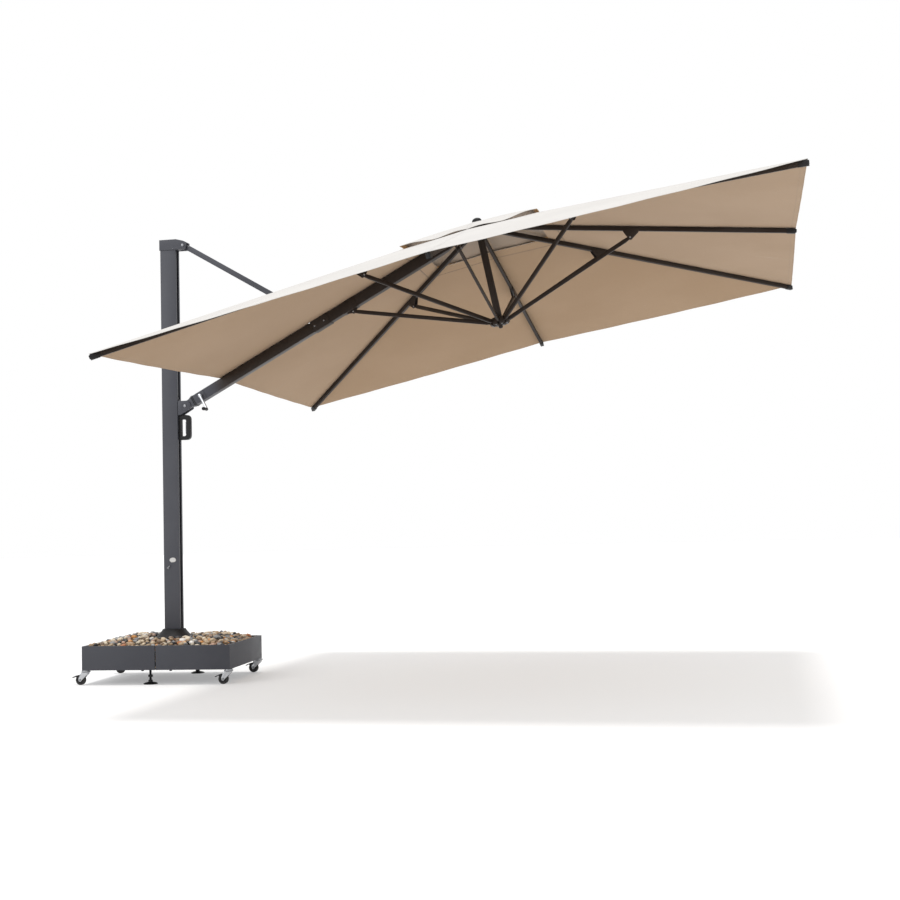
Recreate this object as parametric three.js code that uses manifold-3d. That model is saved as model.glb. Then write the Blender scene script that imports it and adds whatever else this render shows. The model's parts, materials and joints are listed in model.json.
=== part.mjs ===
// Square cantilever patio umbrella on a pebble-filled base with casters.
// Millimetres, +Z up. The boom reaches out along +X from the post.

import * as THREE from 'three';
import { mergeVertices } from 'three/addons/utils/BufferGeometryUtils.js';
import Module from 'manifold-3d';

const wasm = await Module();
wasm.setup();

// ---- Driving dimensions -------------------------------------------------

const FIT = 0.3; // gap kept between pieces that touch
const PLAY = 0.8; // side play of a piece that swings in a slot
const SLIDE = 2; // play of the slider in the post's channel

// Base
const TRAY_LENGTH = 860; // both halves together, along X
const TRAY_DEPTH = 660;
const TRAY_HEIGHT = 136;
const TRAY_SHEET = 3;
const TRAY_LIP = 14; // rolled rim, inwards
const TRAY_SEAM = 5; // gap between the halves
const BASE_TURN = 4.5; // degrees the base stands turned from under the boom
const FRAME_BAR = 60; // width of the crossed bars
const FRAME_HEIGHT = 40;
const SPINDLE_PLAY = 4; // between the spindle and the post's inner faces
const SPINDLE_FLANGE = 95;
const SPINDLE_TOP = 420;
const FILL_HEIGHT = 6; // pebbles above the rim

// Casters and feet
const RIDE_HEIGHT = 82; // underside of the trays
const WHEEL_RADIUS = 28;
const WHEEL_WIDTH = 22;
const CASTER_TRAIL = 30;
const CASTER_INSET_X = 14;
const CASTER_INSET_Y = 26;
const FORK_PLATE = 3;
const PAD_RADIUS = 40;
const PAD_HEIGHT = 9;
const FOOT_STEM = 7;
const FOOT_OFFSET = 46; // from the seam
const FOOT_INSET = 50; // from the tray's long edge
const FOOT_TRAVEL = 25;

// Post
const POST_WIDTH = 96; // along X
const POST_DEPTH = 56;
const POST_WALL = 3;
const SPINDLE_RADIUS = POST_DEPTH / 2 - POST_WALL - SPINDLE_PLAY;
const POST_SLOT = 24; // open channel in the face below the boom
const POST_FOOT_Z = 238;
const POST_TOP = 2540;
const SKIRT_RADIUS = 114;
const SKIRT_NECK = 70;
const SKIRT_HEIGHT = 52;

// Linkage: post, strut, boom and slider
const PIVOT_X = 95; // strut and slider pivots, from the post's axis
const SLIDER_Z = 1584.4;
const BOOM_SLOPE = 28.1; // degrees
const BOOM_SPARE = 276.4; // slider pivot to hub pivot, more than half the canopy's side
const BOOM_HEIGHT = 58;
const BOOM_WIDTH = 52;
const BOOM_WALL = 2.5;
const STRUT_PLACE = 926; // strut pivot along the boom
const STRUT_RISE = 42; // strut pivot above the boom's axis
const STRUT_SIZE = 30;
const STRUT_WALL = 2;
const PIN_RADIUS = 6;

// Canopy frame
const CANOPY_SIDE = 3350;
const BOOM_LENGTH = CANOPY_SIDE / 2 + BOOM_SPARE;
const CANOPY_TILT = 11.5; // degrees
const HUB_CIRCLE = 46; // radius of the rib pivots
const HUB_RIM = 56;
const MID_ANGLE = 16.06; // fall of the ribs to the sides' middles
const CORNER_ANGLE = 12.45; // fall of the ribs to the corners
const RIB_HEIGHT = 25;
const RIB_WIDTH = 17;
const RIB_WALL = 2;
const BRACE_LENGTH = 810;
const BRACE_HEIGHT = 22;
const BRACE_WIDTH = 12;
const BRACE_ANGLE = 19.4; // fall of the line from the hub pivot to the bracket pivot
const CORNER_BRACKET = 3.3; // the same, more than the corner rib's own fall
const FOLD = 69; // degrees from open to closed
const CORNER_CLOSED = 85.3; // fall of a corner rib when closed
const TUBE_RADIUS = 20;
const TUBE_WALL = 2;

// Fabric
const FABRIC = 2;
const FABRIC_GAP = 3;
const VENT_OPENING = 0.18; // of the canopy's half side
const VENT_SIZE = 0.23;
const VENT_RISE = 34; // vent canopy above the lower one at its edge
const SLIT_LENGTH = 220;
const SLIT_SPARE = 8; // of the slit, more than the boom's width
const SLIT_WIDTH = BOOM_WIDTH + SLIT_SPARE;

const FINISHES = {
  grey: { color: 0x585a60, roughness: 0.5, metalness: 0.6 },
  bronze: { color: 0x3a302a, roughness: 0.5, metalness: 0.6 },
  black: { color: 0x1b1b1d, roughness: 0.6, metalness: 0.0 },
  chrome: { color: 0xc8c9cc, roughness: 0.2, metalness: 1.0 },
  steel: { color: 0x8d8f93, roughness: 0.4, metalness: 1.0 },
  rubber: { color: 0x161617, roughness: 0.85, metalness: 0.0 },
  ivory: { color: 0xefeee9, roughness: 0.9, metalness: 0.0 },
  stone: { color: 0xa08a6c, roughness: 0.7, metalness: 0.0 },
};

// ---- Tools for solids ---------------------------------------------------

const rad = THREE.MathUtils.degToRad;
const deg = THREE.MathUtils.radToDeg;

function solid(geometry) {
  geometry.deleteAttribute('normal');
  geometry.deleteAttribute('uv');
  const merged = mergeVertices(geometry, 1e-4);
  const vertProperties = new Float32Array(merged.attributes.position.array);
  const triVerts = new Uint32Array(merged.index.array);
  return new wasm.Manifold(new wasm.Mesh({ numProp: 3, vertProperties, triVerts }));
}

function block(x0, x1, y0, y1, z0, z1) {
  const geometry = new THREE.BoxGeometry(x1 - x0, y1 - y0, z1 - z0);
  geometry.translate((x0 + x1) / 2, (y0 + y1) / 2, (z0 + z1) / 2);
  return solid(geometry);
}

// A round bar from a to b along the X, Y or Z axis, through (p, q) on the other two axes.
function bar(axis, radius, a, b, p = 0, q = 0, sides = 14) {
  const geometry = new THREE.CylinderGeometry(radius, radius, b - a, sides);
  const middle = (a + b) / 2;
  if (axis === 'x') {
    geometry.rotateZ(Math.PI / 2);
    geometry.translate(middle, p, q);
  } else if (axis === 'y') {
    geometry.translate(p, middle, q);
  } else {
    geometry.rotateX(Math.PI / 2);
    geometry.translate(p, q, middle);
  }
  return solid(geometry);
}

function outline(points) {
  return new THREE.Shape(points.map(([x, y]) => new THREE.Vector2(x, y)));
}

// An outline in the XZ plane given thickness from y0 to y1.
function side(points, y0, y1) {
  const options = { depth: y1 - y0, bevelEnabled: false, steps: 1 };
  const geometry = new THREE.ExtrudeGeometry(outline(points), options);
  geometry.rotateX(Math.PI / 2);
  geometry.translate(0, y1, 0);
  return solid(geometry);
}

// An outline in the XY plane given height from z0 to z1.
function plan(points, z0, z1) {
  const options = { depth: z1 - z0, bevelEnabled: false, steps: 1 };
  const geometry = new THREE.ExtrudeGeometry(outline(points), options);
  geometry.translate(0, 0, z0);
  return solid(geometry);
}

// A profile of [radius, height] points turned about the Z axis.
function turned(profile, sides = 32) {
  const points = profile.map(([r, z]) => new THREE.Vector2(r, z));
  const geometry = new THREE.LatheGeometry(points, sides);
  geometry.rotateX(Math.PI / 2);
  return solid(geometry);
}

// The points of an arc about (x, z), for an outline.
function arc(x, z, radius, from, to, steps = 6) {
  const points = [];
  for (let i = 0; i <= steps; i += 1) {
    const angle = rad(from + ((to - from) * i) / steps);
    points.push([x + radius * Math.cos(angle), z + radius * Math.sin(angle)]);
  }
  return points;
}

// A square tube along X, open at both ends.
function tube(x0, x1, width, height, wall) {
  const outer = block(x0, x1, -width / 2, width / 2, -height / 2, height / 2);
  const y = width / 2 - wall;
  const z = height / 2 - wall;
  return outer.subtract(block(x0 - 1, x1 + 1, -y, y, -z, z));
}

// A pair of cheeks, one each side of a slot of the given width.
function cheeks(points, slot, plate) {
  const near = side(points, -slot / 2 - plate, -slot / 2);
  return near.add(side(points, slot / 2, slot / 2 + plate));
}

function piece(parent, name, shape, finish) {
  const { vertProperties, triVerts } = shape.getMesh();
  const geometry = new THREE.BufferGeometry();
  geometry.setAttribute('position', new THREE.BufferAttribute(new Float32Array(vertProperties), 3));
  geometry.setIndex(new THREE.BufferAttribute(new Uint32Array(triVerts), 1));
  geometry.computeVertexNormals();
  const mesh = new THREE.Mesh(geometry, new THREE.MeshStandardMaterial(FINISHES[finish]));
  mesh.name = name;
  parent.add(mesh);
  return mesh;
}

// A frame placed in its parent and turned about its own Y axis.
function frame(parent, x, y, z, turnY = 0, turnZ = 0) {
  const group = new THREE.Group();
  group.position.set(x, y, z);
  group.rotation.set(0, rad(turnY), rad(turnZ), 'ZYX');
  parent.add(group);
  return group;
}

const umbrella = new THREE.Group();
umbrella.name = 'patio_umbrella';

// ---- Base ---------------------------------------------------------------

const TRAY_TOP = RIDE_HEIGHT + TRAY_HEIGHT;
const TRAY_FLOOR = RIDE_HEIGHT + TRAY_SHEET;
const FRAME_TOP = TRAY_FLOOR + FIT + FRAME_HEIGHT;
const FLANGE_HEIGHT = 8;
const HALF_LENGTH = TRAY_LENGTH / 2;
const HALF_DEPTH = TRAY_DEPTH / 2;
const STEM_HOLE = FOOT_STEM + FIT;


const baseFrame = frame(umbrella, 0, 0, 0, 0, BASE_TURN);

// Where the casters and feet stand, in the base's own frame.
const CASTER_X = HALF_LENGTH - CASTER_INSET_X;
const CASTER_Y = HALF_DEPTH - CASTER_INSET_Y;
const CASTERS = [
  { name: 'near_left', x: -CASTER_X, y: -CASTER_Y },
  { name: 'near_right', x: CASTER_X, y: -CASTER_Y },
  { name: 'far_right', x: CASTER_X, y: CASTER_Y },
  { name: 'far_left', x: -CASTER_X, y: CASTER_Y },
];
const FEET = [
  { name: 'near', x: -FOOT_OFFSET, y: -HALF_DEPTH + FOOT_INSET },
  { name: 'far', x: FOOT_OFFSET, y: HALF_DEPTH - FOOT_INSET },
];

// One half: a floor, three walls with a rolled rim, and the side at the seam open.
function tray() {
  const x0 = TRAY_SEAM / 2;
  const x1 = HALF_LENGTH;
  const outer = block(x0, x1, -HALF_DEPTH, HALF_DEPTH, RIDE_HEIGHT, TRAY_TOP);
  const wallY = HALF_DEPTH - TRAY_SHEET;
  const wallX = x1 - TRAY_SHEET;
  const inside = block(x0 - 1, wallX, -wallY, wallY, TRAY_FLOOR, TRAY_TOP - TRAY_SHEET);
  const lipY = HALF_DEPTH - TRAY_LIP;
  const mouth = block(x0 - 1, x1 - TRAY_LIP, -lipY, lipY, TRAY_FLOOR, TRAY_TOP + 1);
  return outer.subtract(inside).subtract(mouth);
}

function drilled(shape, mirror) {
  let result = shape;
  for (const { x, y } of FEET) {
    if (x * mirror > 0) {
      result = result.subtract(bar('z', STEM_HOLE, RIDE_HEIGHT - 1, TRAY_FLOOR + 1, x, y, 16));
    }
  }
  return result;
}

piece(baseFrame, 'tray_right', drilled(tray(), 1), 'grey');
piece(baseFrame, 'tray_left', drilled(tray().rotate([0, 0, 180]), -1), 'grey');

// Two crossed bars on the tray floors, halved where they cross.
const REACH_X = HALF_LENGTH - 90;
const REACH_Y = HALF_DEPTH - 90;
const BAR_FLOOR = TRAY_FLOOR + FIT;
const crossFrame = block(-REACH_X, REACH_X, -FRAME_BAR / 2, FRAME_BAR / 2, BAR_FLOOR, FRAME_TOP)
  .add(block(-FRAME_BAR / 2, FRAME_BAR / 2, -REACH_Y, REACH_Y, BAR_FLOOR, FRAME_TOP));
piece(baseFrame, 'cross_frame', crossFrame, 'black');

const FLANGE_TOP = FRAME_TOP + FIT + FLANGE_HEIGHT;
const spindle = turned([
  [0, FRAME_TOP + FIT],
  [SPINDLE_FLANGE, FRAME_TOP + FIT],
  [SPINDLE_FLANGE, FLANGE_TOP],
  [SPINDLE_RADIUS + 14, FLANGE_TOP],
  [SPINDLE_RADIUS, FLANGE_TOP + 40],
  [SPINDLE_RADIUS, SPINDLE_TOP],
  [0, SPINDLE_TOP],
], 24);
piece(baseFrame, 'spindle', spindle, 'steel');

// The pebbles as one heap with a low crown.
const FILL_GAP = 2;
const fillX = HALF_LENGTH - TRAY_LIP - FILL_GAP;
const fillY = HALF_DEPTH - TRAY_LIP - FILL_GAP;
const FILL_FLOOR = TRAY_FLOOR + FIT;
const shoulder = TRAY_TOP - 4;
const heap = side([
  [-fillX, FILL_FLOOR], [fillX, FILL_FLOOR], [fillX, shoulder],
  [fillX - 60, TRAY_TOP + FILL_HEIGHT], [60 - fillX, TRAY_TOP + FILL_HEIGHT], [-fillX, shoulder],
], -fillY, fillY);
const PEBBLE_CLEARANCE = 3;
const frameSpace = block(
  -REACH_X - PEBBLE_CLEARANCE, REACH_X + PEBBLE_CLEARANCE,
  -FRAME_BAR / 2 - PEBBLE_CLEARANCE, FRAME_BAR / 2 + PEBBLE_CLEARANCE,
  FILL_FLOOR - 1, FRAME_TOP + FIT,
).add(block(
  -FRAME_BAR / 2 - PEBBLE_CLEARANCE, FRAME_BAR / 2 + PEBBLE_CLEARANCE,
  -REACH_Y - PEBBLE_CLEARANCE, REACH_Y + PEBBLE_CLEARANCE,
  FILL_FLOOR - 1, FRAME_TOP + FIT,
));
const FOOT_HEAD = FOOT_TRAVEL + 30; // stem above the tray floor with the foot screwed in
let fill = heap
  .subtract(frameSpace)
  .subtract(bar('z', SPINDLE_FLANGE + PEBBLE_CLEARANCE, FRAME_TOP, TRAY_TOP + 60, 0, 0, 32));
for (const { x, y } of FEET) {
  fill = fill.subtract(bar('z', 14, FILL_FLOOR - 1, TRAY_FLOOR + FOOT_HEAD, x, y, 12));
}
piece(baseFrame, 'pebble_fill', fill, 'stone');

// ---- Casters ------------------------------------------------------------

// The swivel axis is the frame's Z axis, and the wheel trails towards -X.
const FORK_TOP = RIDE_HEIGHT - FIT;
const FORK_GAP = WHEEL_WIDTH / 2 + 1.2;

function fork() {
  const head = turned([
    [0, FORK_TOP - 13], [20, FORK_TOP - 13], [24, FORK_TOP - 9], [24, FORK_TOP], [0, FORK_TOP],
  ], 14);
  const half = FORK_GAP + FORK_PLATE;
  const bridge = block(-24, 14, -half, half, FORK_TOP - 17, FORK_TOP - 11);
  const cheek = [
    ...arc(-CASTER_TRAIL, WHEEL_RADIUS, 9, 180, 350, 5),
    [15, FORK_TOP - 20], [15, FORK_TOP - 12], [-26, FORK_TOP - 12], [-38, WHEEL_RADIUS + 12],
  ];
  return head.add(bridge).add(cheeks(cheek, 2 * FORK_GAP, FORK_PLATE));
}

function wheel() {
  const half = WHEEL_WIDTH / 2;
  const edge = WHEEL_RADIUS - 3;
  const profile = [
    [0, -half], [edge, -half], [WHEEL_RADIUS, 3 - half], [WHEEL_RADIUS, half - 3], [edge, half], [0, half],
  ];
  return turned(profile, 24).rotate([-90, 0, 0]);
}

// A foot pedal behind the wheel, hinged on the fork's cheeks.
function brake() {
  const half = FORK_GAP + FORK_PLATE + PLAY;
  const plate = side([[-34, 4], [-14, 8], [-8, 8], [-8, 4], [-34, 0]], -half, half);
  const ears = cheeks([[-14, 8], [6, 8], [6, -4], [-4, -6], [-14, 2]], 2 * half - 0.01, 2.5);
  return plate.add(ears);
}

const PEDAL_X = -CASTER_TRAIL - 12;
const PEDAL_Z = WHEEL_RADIUS + 20;
for (const { name, x, y } of CASTERS) {
  const swivel = frame(baseFrame, x, y, 0);
  piece(swivel, `caster_fork_${name}`, fork(), 'chrome');
  piece(frame(swivel, -CASTER_TRAIL, 0, WHEEL_RADIUS), `caster_wheel_${name}`, wheel(), 'rubber');
  piece(frame(swivel, PEDAL_X, 0, PEDAL_Z, -14), `caster_brake_${name}`, brake(), 'black');
}

// ---- Levelling feet -----------------------------------------------------

function levellingFoot() {
  return turned([
    [0, 0], [PAD_RADIUS, 0], [PAD_RADIUS, 4], [PAD_RADIUS - 12, PAD_HEIGHT], [12, PAD_HEIGHT + 3],
    [12, PAD_HEIGHT + 14], [FOOT_STEM, PAD_HEIGHT + 14], [FOOT_STEM, RIDE_HEIGHT + 30], [0, RIDE_HEIGHT + 30],
  ], 16);
}

for (const { name, x, y } of FEET) {
  piece(frame(baseFrame, x, y, 0), `levelling_foot_${name}`, levellingFoot(), 'black');
}

// ---- Post ---------------------------------------------------------------

const POST_X = POST_WIDTH / 2;
const POST_Y = POST_DEPTH / 2;
const INNER_X = POST_X - POST_WALL;
const INNER_Y = POST_Y - POST_WALL;
const FOOT_PLATE = 12;
const mast = frame(umbrella, 0, 0, 0);

const postProfile = [
  [POST_X, POST_SLOT / 2], [POST_X, POST_Y], [-POST_X, POST_Y], [-POST_X, -POST_Y], [POST_X, -POST_Y],
  [POST_X, -POST_SLOT / 2], [INNER_X, -POST_SLOT / 2], [INNER_X, -INNER_Y], [-INNER_X, -INNER_Y],
  [-INNER_X, INNER_Y], [INNER_X, INNER_Y], [INNER_X, POST_SLOT / 2],
];
piece(mast, 'post_tube', plan(postProfile, POST_FOOT_Z, POST_TOP), 'grey');

// The turning foot: a plate under the post and a bush round the spindle inside it.
const bushSize = INNER_Y - FIT;
const footBottom = POST_FOOT_Z - FIT - FOOT_PLATE;
const postFoot = bar('z', SPINDLE_FLANGE - 12, footBottom, POST_FOOT_Z - FIT, 0, 0, 32)
  .add(block(-bushSize - 10, bushSize + 10, -bushSize, bushSize, POST_FOOT_Z - 1, SPINDLE_TOP - 20))
  .subtract(bar('z', SPINDLE_RADIUS + FIT, footBottom - 1, SPINDLE_TOP, 0, 0, 24));
piece(mast, 'post_foot', postFoot, 'steel');

// The skirt over the foot, closed round the post.
const skirtBase = POST_FOOT_Z - 2;
const skirt = turned([
  [SKIRT_RADIUS - 3, skirtBase],
  [SKIRT_RADIUS, skirtBase],
  [SKIRT_RADIUS, skirtBase + 5],
  [SKIRT_RADIUS - 12, skirtBase + 16],
  [SKIRT_NECK + 12, skirtBase + 34],
  [SKIRT_NECK, skirtBase + SKIRT_HEIGHT],
  [0, skirtBase + SKIRT_HEIGHT],
  [0, skirtBase + SKIRT_HEIGHT - 3],
  [SKIRT_NECK - 2, skirtBase + SKIRT_HEIGHT - 3],
  [SKIRT_NECK + 9, skirtBase + 32],
  [SKIRT_RADIUS - 15, skirtBase + 14],
  [SKIRT_RADIUS - 3, skirtBase + 4],
  [SKIRT_RADIUS - 3, skirtBase],
], 24).subtract(block(
  -POST_X - FIT, POST_X + FIT, -POST_Y - FIT, POST_Y + FIT, skirtBase, skirtBase + SKIRT_HEIGHT + 1,
));
piece(mast, 'post_skirt', skirt, 'black');

// The foot lever that frees the post to turn, on the side away from the boom.
const LEVER_Z = POST_FOOT_Z - FIT - FOOT_PLATE / 2;
const LEVER_X = -SPINDLE_FLANGE + 2;
const lever = side([
  [-2, -4], [-30, -4], [-66, 22], [-104, 22], [-104, 29], [-64, 29], [-30, 4], [-2, 4],
], -16, 16);
piece(frame(mast, LEVER_X, 0, LEVER_Z), 'swivel_pedal', lever, 'black');

// ---- Strut pivot and cap ------------------------------------------------

const REACH_ANGLE = BOOM_SLOPE + deg(Math.atan2(STRUT_RISE, STRUT_PLACE));
const STRUT_LENGTH = Math.hypot(STRUT_PLACE, STRUT_RISE);
const STRUT_Z = SLIDER_Z + 2 * STRUT_LENGTH * Math.sin(rad(REACH_ANGLE));
const CAP_WALL = 4;
const CAP_TOP = STRUT_Z + 38;
const CAP_BOTTOM = STRUT_Z - 24;
const capX = POST_X + CAP_WALL;
const capY = POST_Y + CAP_WALL;
const NOSE = PIVOT_X + 18;
const strutSlot = STRUT_SIZE / 2 + 1.5;
const cap = side([
  [-capX, CAP_BOTTOM], [PIVOT_X + 6, CAP_BOTTOM], [NOSE, STRUT_Z - 14], [NOSE, STRUT_Z + 17],
  [NOSE - 3, STRUT_Z + 20], [PIVOT_X, CAP_TOP - 11], [POST_X + 4, CAP_TOP], [-capX, CAP_TOP],
], -capY, capY)
  .subtract(block(-POST_X - FIT, POST_X + FIT, -POST_Y - FIT, POST_Y + FIT, CAP_BOTTOM - 1, POST_TOP + FIT))
  .subtract(side([
    [PIVOT_X - 26, CAP_BOTTOM - 1], [NOSE + 1, CAP_BOTTOM - 1], [NOSE + 1, STRUT_Z + 14],
    [PIVOT_X - 26, STRUT_Z + 14],
  ], -strutSlot, strutSlot))
  .subtract(bar('y', PIN_RADIUS + FIT, -capY - 1, capY + 1, PIVOT_X, STRUT_Z));
piece(mast, 'post_cap', cap, 'grey');

function pin(length, head) {
  return bar('y', PIN_RADIUS, -length / 2, length / 2, 0, 0)
    .add(bar('y', head, -length / 2 - 4, -length / 2, 0, 0, 6))
    .add(bar('y', head, length / 2, length / 2 + 4, 0, 0, 6));
}

piece(frame(mast, PIVOT_X, 0, STRUT_Z), 'strut_pin', pin(2 * capY + 2 * FIT, 9), 'steel');

// The strut's frame lies at its upper pivot, with X along the strut.
const TONGUE = 12; // half height of the strut's end tongues
const LOW_TONGUE = 9.5;
const TONGUE_WIDTH = 16;
const strutFrame = frame(mast, PIVOT_X, 0, STRUT_Z, REACH_ANGLE);
const strut = tube(32, STRUT_LENGTH - 40, STRUT_SIZE, STRUT_SIZE, STRUT_WALL)
  .add(side([...arc(0, 0, TONGUE, 90, 270), [60, -STRUT_SIZE / 2 + 1], [60, STRUT_SIZE / 2 - 1]],
    -TONGUE_WIDTH / 2, TONGUE_WIDTH / 2))
  .add(side([
    ...arc(STRUT_LENGTH, 0, LOW_TONGUE, -90, 90),
    [STRUT_LENGTH - 66, STRUT_SIZE / 2 - 1], [STRUT_LENGTH - 66, -STRUT_SIZE / 2 + 1],
  ], -TONGUE_WIDTH / 2, TONGUE_WIDTH / 2))
  .subtract(bar('y', PIN_RADIUS + FIT, -STRUT_SIZE, STRUT_SIZE, 0, 0))
  .subtract(bar('y', 5 + FIT, -STRUT_SIZE, STRUT_SIZE, STRUT_LENGTH, 0));
piece(strutFrame, 'strut', strut, 'grey');

// ---- Slider and lift handle ---------------------------------------------

const slider = frame(mast, PIVOT_X, 0, SLIDER_Z);
const SHOE_LENGTH = 110;
const CHEEK_SLOT = 42;
const CHEEK_PLATE = 5;
const FACE = POST_X - PIVOT_X; // the post's slotted face, in the slider's frame
const shoeY = INNER_Y - SLIDE;
const neckY = POST_SLOT / 2 - SLIDE;
const WEB = 4; // plate outside the slot
const BRACKET_FOOT = -52;
const webX = FACE + SLIDE + WEB;
const cheekY = CHEEK_SLOT / 2 + CHEEK_PLATE;
const shoeX = FACE - POST_WALL - SLIDE;
const shoeZ = SHOE_LENGTH / 2;
const carriage = block(shoeX - 34, shoeX, -shoeY, shoeY, -shoeZ, shoeZ)
  .add(block(shoeX - 1, FACE + SLIDE + 1, -neckY, neckY, BRACKET_FOOT, 40))
  .add(block(FACE + SLIDE, webX, -cheekY, cheekY, BRACKET_FOOT, 30))
  .add(cheeks([
    [FACE + SLIDE, BRACKET_FOOT], [webX + 14, BRACKET_FOOT], [34, -16], [34, 12], [16, 30],
    [FACE + SLIDE, 30],
  ], CHEEK_SLOT, CHEEK_PLATE))
  .subtract(bar('y', PIN_RADIUS + FIT, -40, 40, 0, 0));
piece(slider, 'slider_carriage', carriage, 'grey');
piece(slider, 'slider_pin', pin(2 * cheekY + 2 * FIT, 9), 'steel');

// A closed D grip hung under the slider.
const HANDLE_TOP = BRACKET_FOOT - FIT;
const HANDLE_FOOT = HANDLE_TOP - 146;
const HANDLE_BACK = FACE + SLIDE;
const HANDLE_FRONT = HANDLE_BACK + 70;
const GRIP = 26;
const HANDLE_HALF = 13;
const FINGER_BACK = HANDLE_BACK + 14;
const FINGER_FRONT = HANDLE_FRONT - GRIP;
const FINGER_TOP = HANDLE_TOP - 26;
const FINGER_FOOT = HANDLE_FOOT + 22;
const TRIGGER_TOP = FINGER_TOP - 14;
const TRIGGER_FOOT = FINGER_FOOT + 14;
const TRIGGER_OUT = 6;
const TRIGGER_TRAVEL = 5;
const grip = side([
  [HANDLE_BACK, HANDLE_TOP], [HANDLE_BACK, HANDLE_FOOT], [HANDLE_FRONT - 30, HANDLE_FOOT],
  ...arc(HANDLE_FRONT - 24, HANDLE_FOOT + 24, 24, -90, 0, 4),
  ...arc(HANDLE_FRONT - 24, HANDLE_TOP - 24, 24, 0, 90, 4),
], -HANDLE_HALF, HANDLE_HALF)
  .subtract(side([
    [FINGER_BACK, FINGER_TOP], [FINGER_BACK, FINGER_FOOT],
    ...arc(FINGER_FRONT - 10, FINGER_FOOT + 10, 10, -90, 0, 3),
    ...arc(FINGER_FRONT - 10, FINGER_TOP - 10, 10, 0, 90, 3),
  ], -HANDLE_HALF - 1, HANDLE_HALF + 1))
  .subtract(block(
    FINGER_FRONT - 1, FINGER_FRONT + 10 + TRIGGER_TRAVEL, -7, 7, TRIGGER_FOOT - PLAY, TRIGGER_TOP + PLAY,
  ));
piece(slider, 'lift_handle', grip, 'black');
const trigger = block(FINGER_FRONT - TRIGGER_OUT, FINGER_FRONT + 8, -6, 6, TRIGGER_FOOT, TRIGGER_TOP);
piece(slider, 'release_trigger', trigger, 'steel');

// ---- Boom ---------------------------------------------------------------

// The boom's frame lies at the slider pivot, with X along the boom.
const boom = frame(mast, PIVOT_X, 0, SLIDER_Z, -BOOM_SLOPE);
const KNUCKLE_END = 140;
const KNUCKLE_HALF = 24; // half height at the pivot
const KNUCKLE_SIDE = CHEEK_SLOT / 2 - PLAY;
const CRANK_X = 114;
const SPOOL_RADIUS = 15;
const boomTop = BOOM_HEIGHT / 2;
const boomSide = BOOM_WIDTH / 2;
const knuckle = side([
  ...arc(0, 0, KNUCKLE_HALF, 90, 270, 8), [34, -KNUCKLE_HALF], [46, -boomTop], [KNUCKLE_END, -boomTop],
  [KNUCKLE_END, boomTop], [46, boomTop], [34, KNUCKLE_HALF],
], -KNUCKLE_SIDE, KNUCKLE_SIDE)
  .add(block(52, KNUCKLE_END, -boomSide, boomSide, -boomTop, boomTop))
  .subtract(block(50, KNUCKLE_END + 1, -17, 17, -20, 20))
  .subtract(bar('y', PIN_RADIUS + FIT, -40, 40, 0, 0))
  .subtract(bar('y', PIN_RADIUS + FIT, -40, 0, CRANK_X, 0));
piece(boom, 'boom_knuckle', knuckle, 'grey');

const lowerTube = tube(KNUCKLE_END + FIT, STRUT_PLACE - FIT, BOOM_WIDTH, BOOM_HEIGHT, BOOM_WALL);
piece(boom, 'boom_lower_tube', lowerTube, 'grey');
const BOOM_TAPER = BOOM_LENGTH - 200;
const upperTube = tube(STRUT_PLACE + FIT, BOOM_TAPER - FIT, BOOM_WIDTH, BOOM_HEIGHT, BOOM_WALL);
piece(boom, 'boom_upper_tube', upperTube, 'bronze');

const SLEEVE = 2.5;
function sleeve(x0, x1) {
  return tube(x0, x1, BOOM_WIDTH + 2 * (FIT + SLEEVE), BOOM_HEIGHT + 2 * (FIT + SLEEVE), SLEEVE);
}

// The collar over the joint of the two tubes, with the strut's clevis on top.
const sleeveTop = boomTop + FIT + SLEEVE;
const EAR = 5;
const clevisSlot = TONGUE_WIDTH + 2 * PLAY;
const collar = sleeve(STRUT_PLACE - 34, STRUT_PLACE + 78)
  .add(cheeks([
    [STRUT_PLACE - 34, sleeveTop - 1], [STRUT_PLACE + 34, sleeveTop - 1],
    ...arc(STRUT_PLACE, STRUT_RISE, 13, 30, 150, 5),
  ], clevisSlot, EAR))
  .add(bar('y', 5, -clevisSlot / 2 - EAR, clevisSlot / 2 + EAR, STRUT_PLACE, STRUT_RISE, 12));
piece(boom, 'boom_collar', collar, 'bronze');

// The tapered end that swings in the top hub.
const TONGUE_HALF = 9;
const endSide = side([
  [BOOM_TAPER, -boomTop], [BOOM_TAPER, boomTop], [BOOM_TAPER + 40, boomTop], [BOOM_TAPER + 100, 15],
  ...arc(BOOM_LENGTH, 0, 10, 90, -90, 6), [BOOM_TAPER + 100, -15], [BOOM_TAPER + 40, -boomTop],
], -boomSide, boomSide);
const endPlan = plan([
  [BOOM_TAPER - 1, -boomSide - 1], [BOOM_TAPER + 1, -boomSide - 1], [BOOM_TAPER + 12, -boomSide + 1],
  [BOOM_TAPER + 90, -TONGUE_HALF],
  [BOOM_LENGTH + 20, -TONGUE_HALF], [BOOM_LENGTH + 20, TONGUE_HALF],
  [BOOM_TAPER + 90, TONGUE_HALF], [BOOM_TAPER + 12, boomSide - 1], [BOOM_TAPER + 1, boomSide + 1],
  [BOOM_TAPER - 1, boomSide + 1],
], -boomTop - 1, boomTop + 1);
piece(boom, 'boom_end', endSide.intersect(endPlan), 'bronze');

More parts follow.
